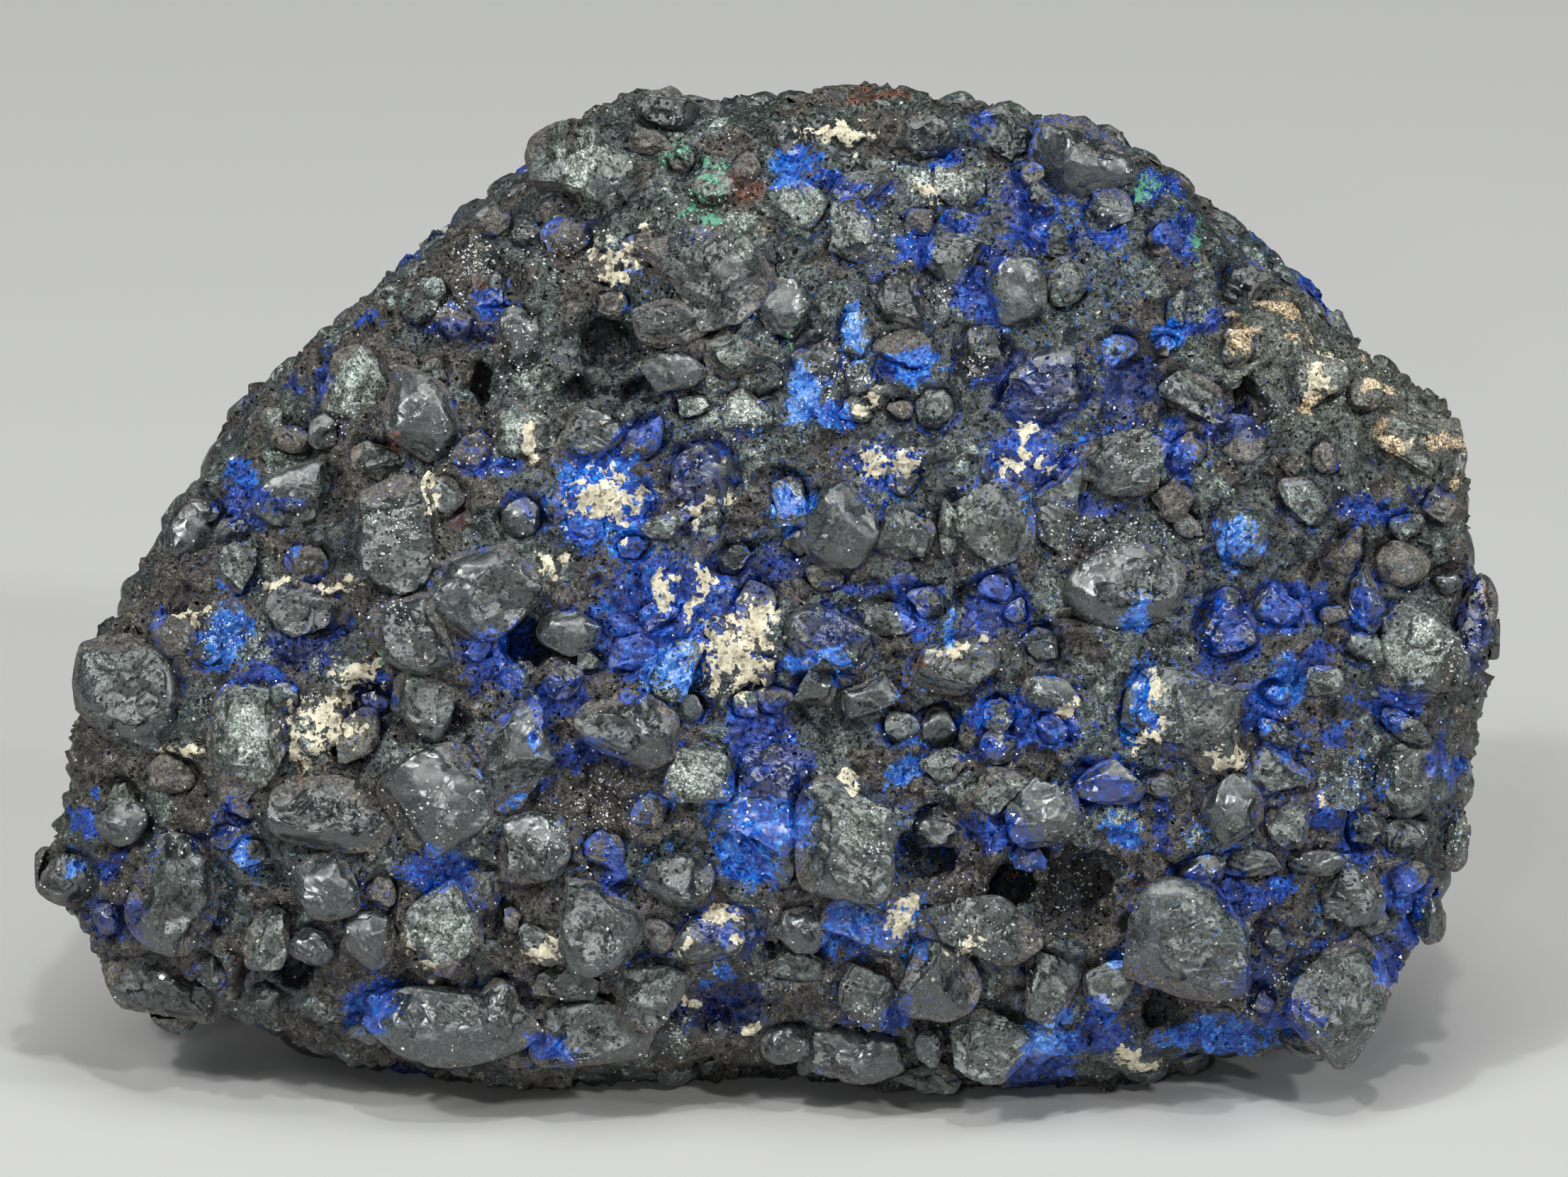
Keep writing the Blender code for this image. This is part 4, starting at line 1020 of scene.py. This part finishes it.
class PebbleHeap:
    """Pebbles gathered for one piece, with the masks of their points."""

    def __init__(self, name):
        self.name = name
        self.count = 0
        self.faces = []
        self.places = []
        self.own_places = []
        self.masks = {"broken": [], "lightness": [], "base": []}

    def add(self, level, centre, axes, halves, turn, broken, light, dice, coat=0.0, whole=False):
        """Add a pebble, mostly without its hidden back. Coat is how far ore covers it."""
        ball = bmesh.new()
        bmesh.ops.create_icosphere(ball, subdivisions=level, radius=1)
        points, fresh = pebble_points(level, halves, turn, broken, dice)
        kept = points[:, 2] > -(2 if whole else 0.3) * halves[2]
        faces = [[vert.index for vert in face.verts] for face in ball.faces]
        faces = [corners for corners in faces if kept[corners].all()]
        ball.free()
        used = np.unique(faces)
        number = np.full(len(points), -1)
        number[used] = np.arange(len(used)) + self.count
        self.faces += number[np.array(faces)].tolist()
        self.count += len(used)
        self.places.append(points[used] @ axes + np.array(centre))
        way = Vector([dice.gauss(0, 1) for _ in range(3)])
        drawn = points[used] @ np.array(Matrix.Rotation(dice.uniform(0, math.tau), 3, way))
        drawn = drawn + 0.4 * MM * grain(drawn, 1.4 * MM, 83)[:, None]
        self.own_places.append(drawn + dice.uniform(0, 1))
        self.masks["base"].append(coat + 1 - smoothstep(points[used, 2] / halves[2], -0.1, 0.55))
        self.masks["broken"].append(fresh[used])
        self.masks["lightness"].append(np.full(len(used), light + dice.uniform(-0.08, 0.08)))

    def finish(self, material):
        """Make the heap's mesh, with its masks, and put it in the scene."""
        mesh = bpy.data.meshes.new(self.name)
        points = in_box(np.concatenate(self.places))
        mesh.from_pydata(points.tolist(), [], self.faces)
        masks = mineral_masks(points)
        for name, parts in self.masks.items():
            masks[name] = np.concatenate(parts)
        patchy = 1 + grain(points, 2.5 * MM, 51)
        masks["azurite"] = masks["azurite"] - 0.10 + 0.22 * masks["base"] * patchy
        # Pale patches lighten and break the pebbles, in part as painted sheen.
        masks["lightness"] = masks["lightness"] + 0.35 * masks["pale_and_painted_sheen"]
        masks["broken"] = np.maximum(masks["broken"], masks["pale_and_painted_sheen"])
        set_masks(mesh, masks)
        own_place = mesh.attributes.new("own_place", "FLOAT_VECTOR", "POINT")
        own_place.data.foreach_set("vector", np.concatenate(self.own_places).astype(np.float32).ravel())
        mesh.shade_smooth()
        place_piece(mesh, material)


FACE_AXES = np.array((Vector((1, 0, 0)), UP_FACE, -AWAY))


def seat_on_face(heap, row, sunk, level, dice, coat=0.0):
    """Put a pebble of the tables in a heap, its top proud of the solid by a share of its size."""
    x, y, wide, tall, turn, broken, light = row
    depth = face_hit(x, y)
    if depth is None:
        depth = 0.0
    small = min(wide, tall) * PIXEL
    halves = (wide * PIXEL * BURIED_EDGE, tall * PIXEL * BURIED_EDGE, small * THICKNESS)
    centre = on_face(x, y, depth + small * (sunk + 0.12 * broken + 0.14 * float(stony_share(x, y))))
    at_rim = any(face_hit(x + dx * wide, y + dy * tall) is None for dx, dy in RIM_TESTS)
    heap.add(level, centre, FACE_AXES, halves, turn, broken, light, dice, coat, at_rim)


BURIED_EDGE = 1.16                  # a pebble reaches this much beyond what shows of it
THICKNESS = 0.66                    # a pebble's half depth as a share of its smaller half size
LARGE_SUNK = 0.58                   # how deep its middle lies under the solid, in smaller half sizes
SMALL_SUNK = 0.48
FILL_SUNK = 0.50
COATS = (0.1, 0.4, 0.7, 1.0)        # how far ore covers the strewn ones
dice = random.Random(11)
LARGE = 50                          # pebbles of this half size in pixels and more are made finer
large_heap = PebbleHeap("large_pebbles")
medium_heap = PebbleHeap("medium_pebbles")
for row in PEBBLES:
    large = (row[2] + row[3]) / 2 >= LARGE
    seat_on_face(large_heap if large else medium_heap, row, LARGE_SUNK, 5 if large else 4, dice)
for row in SMALL_PEBBLES:
    seat_on_face(medium_heap, row, SMALL_SUNK, 4, dice)
small_heap = PebbleHeap("small_pebbles")
for row in fill_pebbles:
    level = 4 if row[7] > 20 else 3
    seat_on_face(small_heap, row[:7], FILL_SUNK, level, dice, dice.choice(COATS))


def block_axes(normal, dice):
    """Axes for a pebble that lies on the block's side or back: across, up and outward."""
    outward = Vector(normal).normalized()
    across = outward.orthogonal().normalized()
    across.rotate(Matrix.Rotation(dice.uniform(0, math.tau), 3, outward))
    return np.array((across, outward.cross(across), outward))


BACK_START = 0.5 * MM               # behind the rim's plane the pebbles are strewn by chance
RIM_BAND = 5 * MM                   # only small ones there, so that the outline stays the solid's
SMALL_AT_RIM = 1.5 * MM
BACK_SUNK = 0.16                    # how deep their middles lie, in half sizes
BACK_SPACING = 0.85
BACK_TRIES = 12
BACK_SIZES = [(2.9 * MM, 34), (2.0 * MM, 110), (1.3 * MM, 230), (0.8 * MM, 260)]
back_heap = PebbleHeap("back_pebbles")
spots = np.array([polygon.center for polygon in worn_even.polygons])
normals = np.array([polygon.normal for polygon in worn_even.polygons])
rim_depth = picture_places(spots)[2]
behind = np.nonzero((rim_depth > BACK_START) & (spots[:, 2] > 1.0 * MM))[0]
strewn = []
for half, number in BACK_SIZES:
    for _ in range(number * BACK_TRIES):
        if sum(1 for place, size in strewn if size == half) >= number:
            break
        chosen = dice.choice(behind)
        if half > SMALL_AT_RIM and rim_depth[chosen] < RIM_BAND:
            continue
        spot = Vector(spots[chosen])
        if any((spot - place).length < BACK_SPACING * (half + size) for place, size in strewn):
            continue
        strewn.append((spot, half))
        halves = (half * dice.uniform(0.95, 1.35), half * dice.uniform(0.8, 1.1), half * THICKNESS)
        centre = spot - Vector(normals[chosen]) * half * BACK_SUNK
        back_heap.add(
            4 if half > 2.5 * MM else 3 if half > 1 * MM else 2,
            centre, block_axes(normals[chosen], dice), halves,
            dice.uniform(0, 90), dice.choice((0.1, 0.4, 0.8)),
            dice.choice((0.2, 0.35, 0.5, 0.7)), dice,
        )
for heap in (back_heap, large_heap, medium_heap, small_heap):
    heap.finish(pebble_stone)


# The crystals: tiny bright faces that glint all over the break, thick in some hollows, and the
# azurite's own grains. They have grown on the ore and the pebbles. The bright faces are glossy, and
# their near-white colour is in part a painted glint.
# x, y, half width, half height, how many
GLINT_CLUSTERS = [
    (1505, 1250, 55, 55, 60), (590, 1150, 60, 40, 30), (1600, 640, 50, 40, 30),
    (668, 367, 32, 30, 70), (640, 430, 20, 20, 30), (740, 490, 40, 55, 60), (444, 987, 14, 14, 16),
    (326, 900, 30, 26, 30), (485, 590, 35, 18, 24), (560, 735, 45, 40, 50), (1327, 421, 14, 14, 20),
    (1373, 519, 18, 18, 20), (1180, 520, 30, 60, 60), (1050, 585, 30, 25, 40),
    (855, 1125, 50, 55, 90), (771, 1178, 22, 22, 30), (980, 1095, 34, 30, 40),
    (1238, 1190, 30, 18, 24), (1215, 1430, 24, 20, 20), (954, 1460, 16, 28, 30),
    (1530, 760, 50, 30, 50), (1610, 750, 30, 16, 20), (1925, 1090, 50, 25, 44),
    (2045, 925, 28, 35, 40), (2055, 1180, 14, 30, 20), (1800, 590, 24, 18, 16),
    (1765, 1412, 18, 16, 14), (1799, 1378, 18, 16, 14), (565, 855, 24, 20, 16),
    (790, 365, 60, 40, 50), (1010, 290, 60, 60, 40), (1240, 330, 60, 40, 40),
    (690, 640, 60, 50, 30), (1380, 1290, 60, 60, 40), (250, 1180, 50, 40, 20),
]
GLINTS_LOOSE = 2400
GLINT_SIZE = 0.074 * MM
GRAINS = 26000                      # tries; a grain grows only where azurite lies
GRAIN_SIZE = 0.11 * MM
SIZE_SPREAD = 0.55                  # how much the crystals differ in size
SIZE_LIMIT = 1.8                    # none is larger than this many usual ones
OCTAHEDRON = np.array([(1, 0, 0), (-1, 0, 0), (0, 1, 0), (0, -1, 0), (0, 0, 1), (0, 0, -1)])
OCTAHEDRON_FACES = np.array([
    (0, 2, 4), (2, 1, 4), (1, 3, 4), (3, 0, 4), (2, 0, 5), (1, 2, 5), (3, 1, 5), (0, 3, 5),
])

# Glossy crystal faces whose near-white colour is in part a painted glint, bright under any lamp.
pale_crystal_painted_glint, tree = new_material("pale_crystal_painted_glint")
dress(tree, {
    "Base Color": (0.72, 0.74, 0.75, 1), "Roughness": 0.08, "Specular IOR Level": 1.0,
})
azurite_grain, tree = new_material("azurite_grain")
dress(tree, {
    "Base Color": ramp(tree, attribute(tree, "azurite_tone"), AZURITE_BLUES),
    "Roughness": 0.14, "Specular IOR Level": 1.0,
})


def strew_crystals(name, places, size, material, tones=None):
    """One mesh of small crystals, each turned and stretched its own way."""
    chance = np.random.default_rng(len(places))
    sides = np.linalg.qr(chance.normal(size=(len(places), 3, 3)))[0]
    sides *= np.linalg.det(sides)[:, None, None]
    scales = size * np.minimum(chance.lognormal(0, SIZE_SPREAD, (len(places), 1, 1)), SIZE_LIMIT)
    scales = scales * chance.uniform(0.4, 1, (len(places), 1, 3))
    corners = (OCTAHEDRON[None] * scales) @ sides + np.array(places)[:, None]
    corners = in_box(corners.reshape(-1, 3))
    faces = OCTAHEDRON_FACES[None] + 6 * np.arange(len(places))[:, None, None]
    mesh = bpy.data.meshes.new(name)
    mesh.from_pydata(corners.tolist(), [], faces.reshape(-1, 3).tolist())
    if tones is not None:
        set_masks(mesh, {"azurite_tone": np.repeat(tones, 6)})
    place_piece(mesh, material)


def seen_places(spots):
    """The points of the specimen that show at these pixels, leaving out those of the floor."""
    places = []
    for x, y in spots:
        start = on_face(x, y, -60 * MM)
        found, place, _, _, thing, _ = bpy.context.scene.ray_cast(graph, start, AWAY)
        if found and thing.name != "floor":
            places.append(place)
    return places


bpy.context.view_layer.update()
graph = bpy.context.evaluated_depsgraph_get()
dice = random.Random(23)
spots = [
    (x + wide * dice.gauss(0, 0.6), y + tall * dice.gauss(0, 0.6))
    for x, y, wide, tall, number in GLINT_CLUSTERS for _ in range(2 * number)
]
spots += [(dice.uniform(50, 2110), dice.uniform(100, 1550)) for _ in range(GLINTS_LOOSE)]
places = seen_places(spots)
strew_crystals("glints", places, GLINT_SIZE, pale_crystal_painted_glint)

spots = [(dice.uniform(50, 2110), dice.uniform(100, 1550)) for _ in range(GRAINS)]
places = np.array(seen_places(spots))
masks = mineral_masks(places)
blue = (masks["azurite"] + 0.25 * grain(places, 0.5 * MM, 71) > 0.5) & (masks["clay"] < 0.45)
tones = masks["azurite_tone"][blue] + np.random.default_rng(3).uniform(-0.3, 0.35, blue.sum())
strew_crystals("azurite_grains", places[blue], GRAIN_SIZE, azurite_grain, tones)
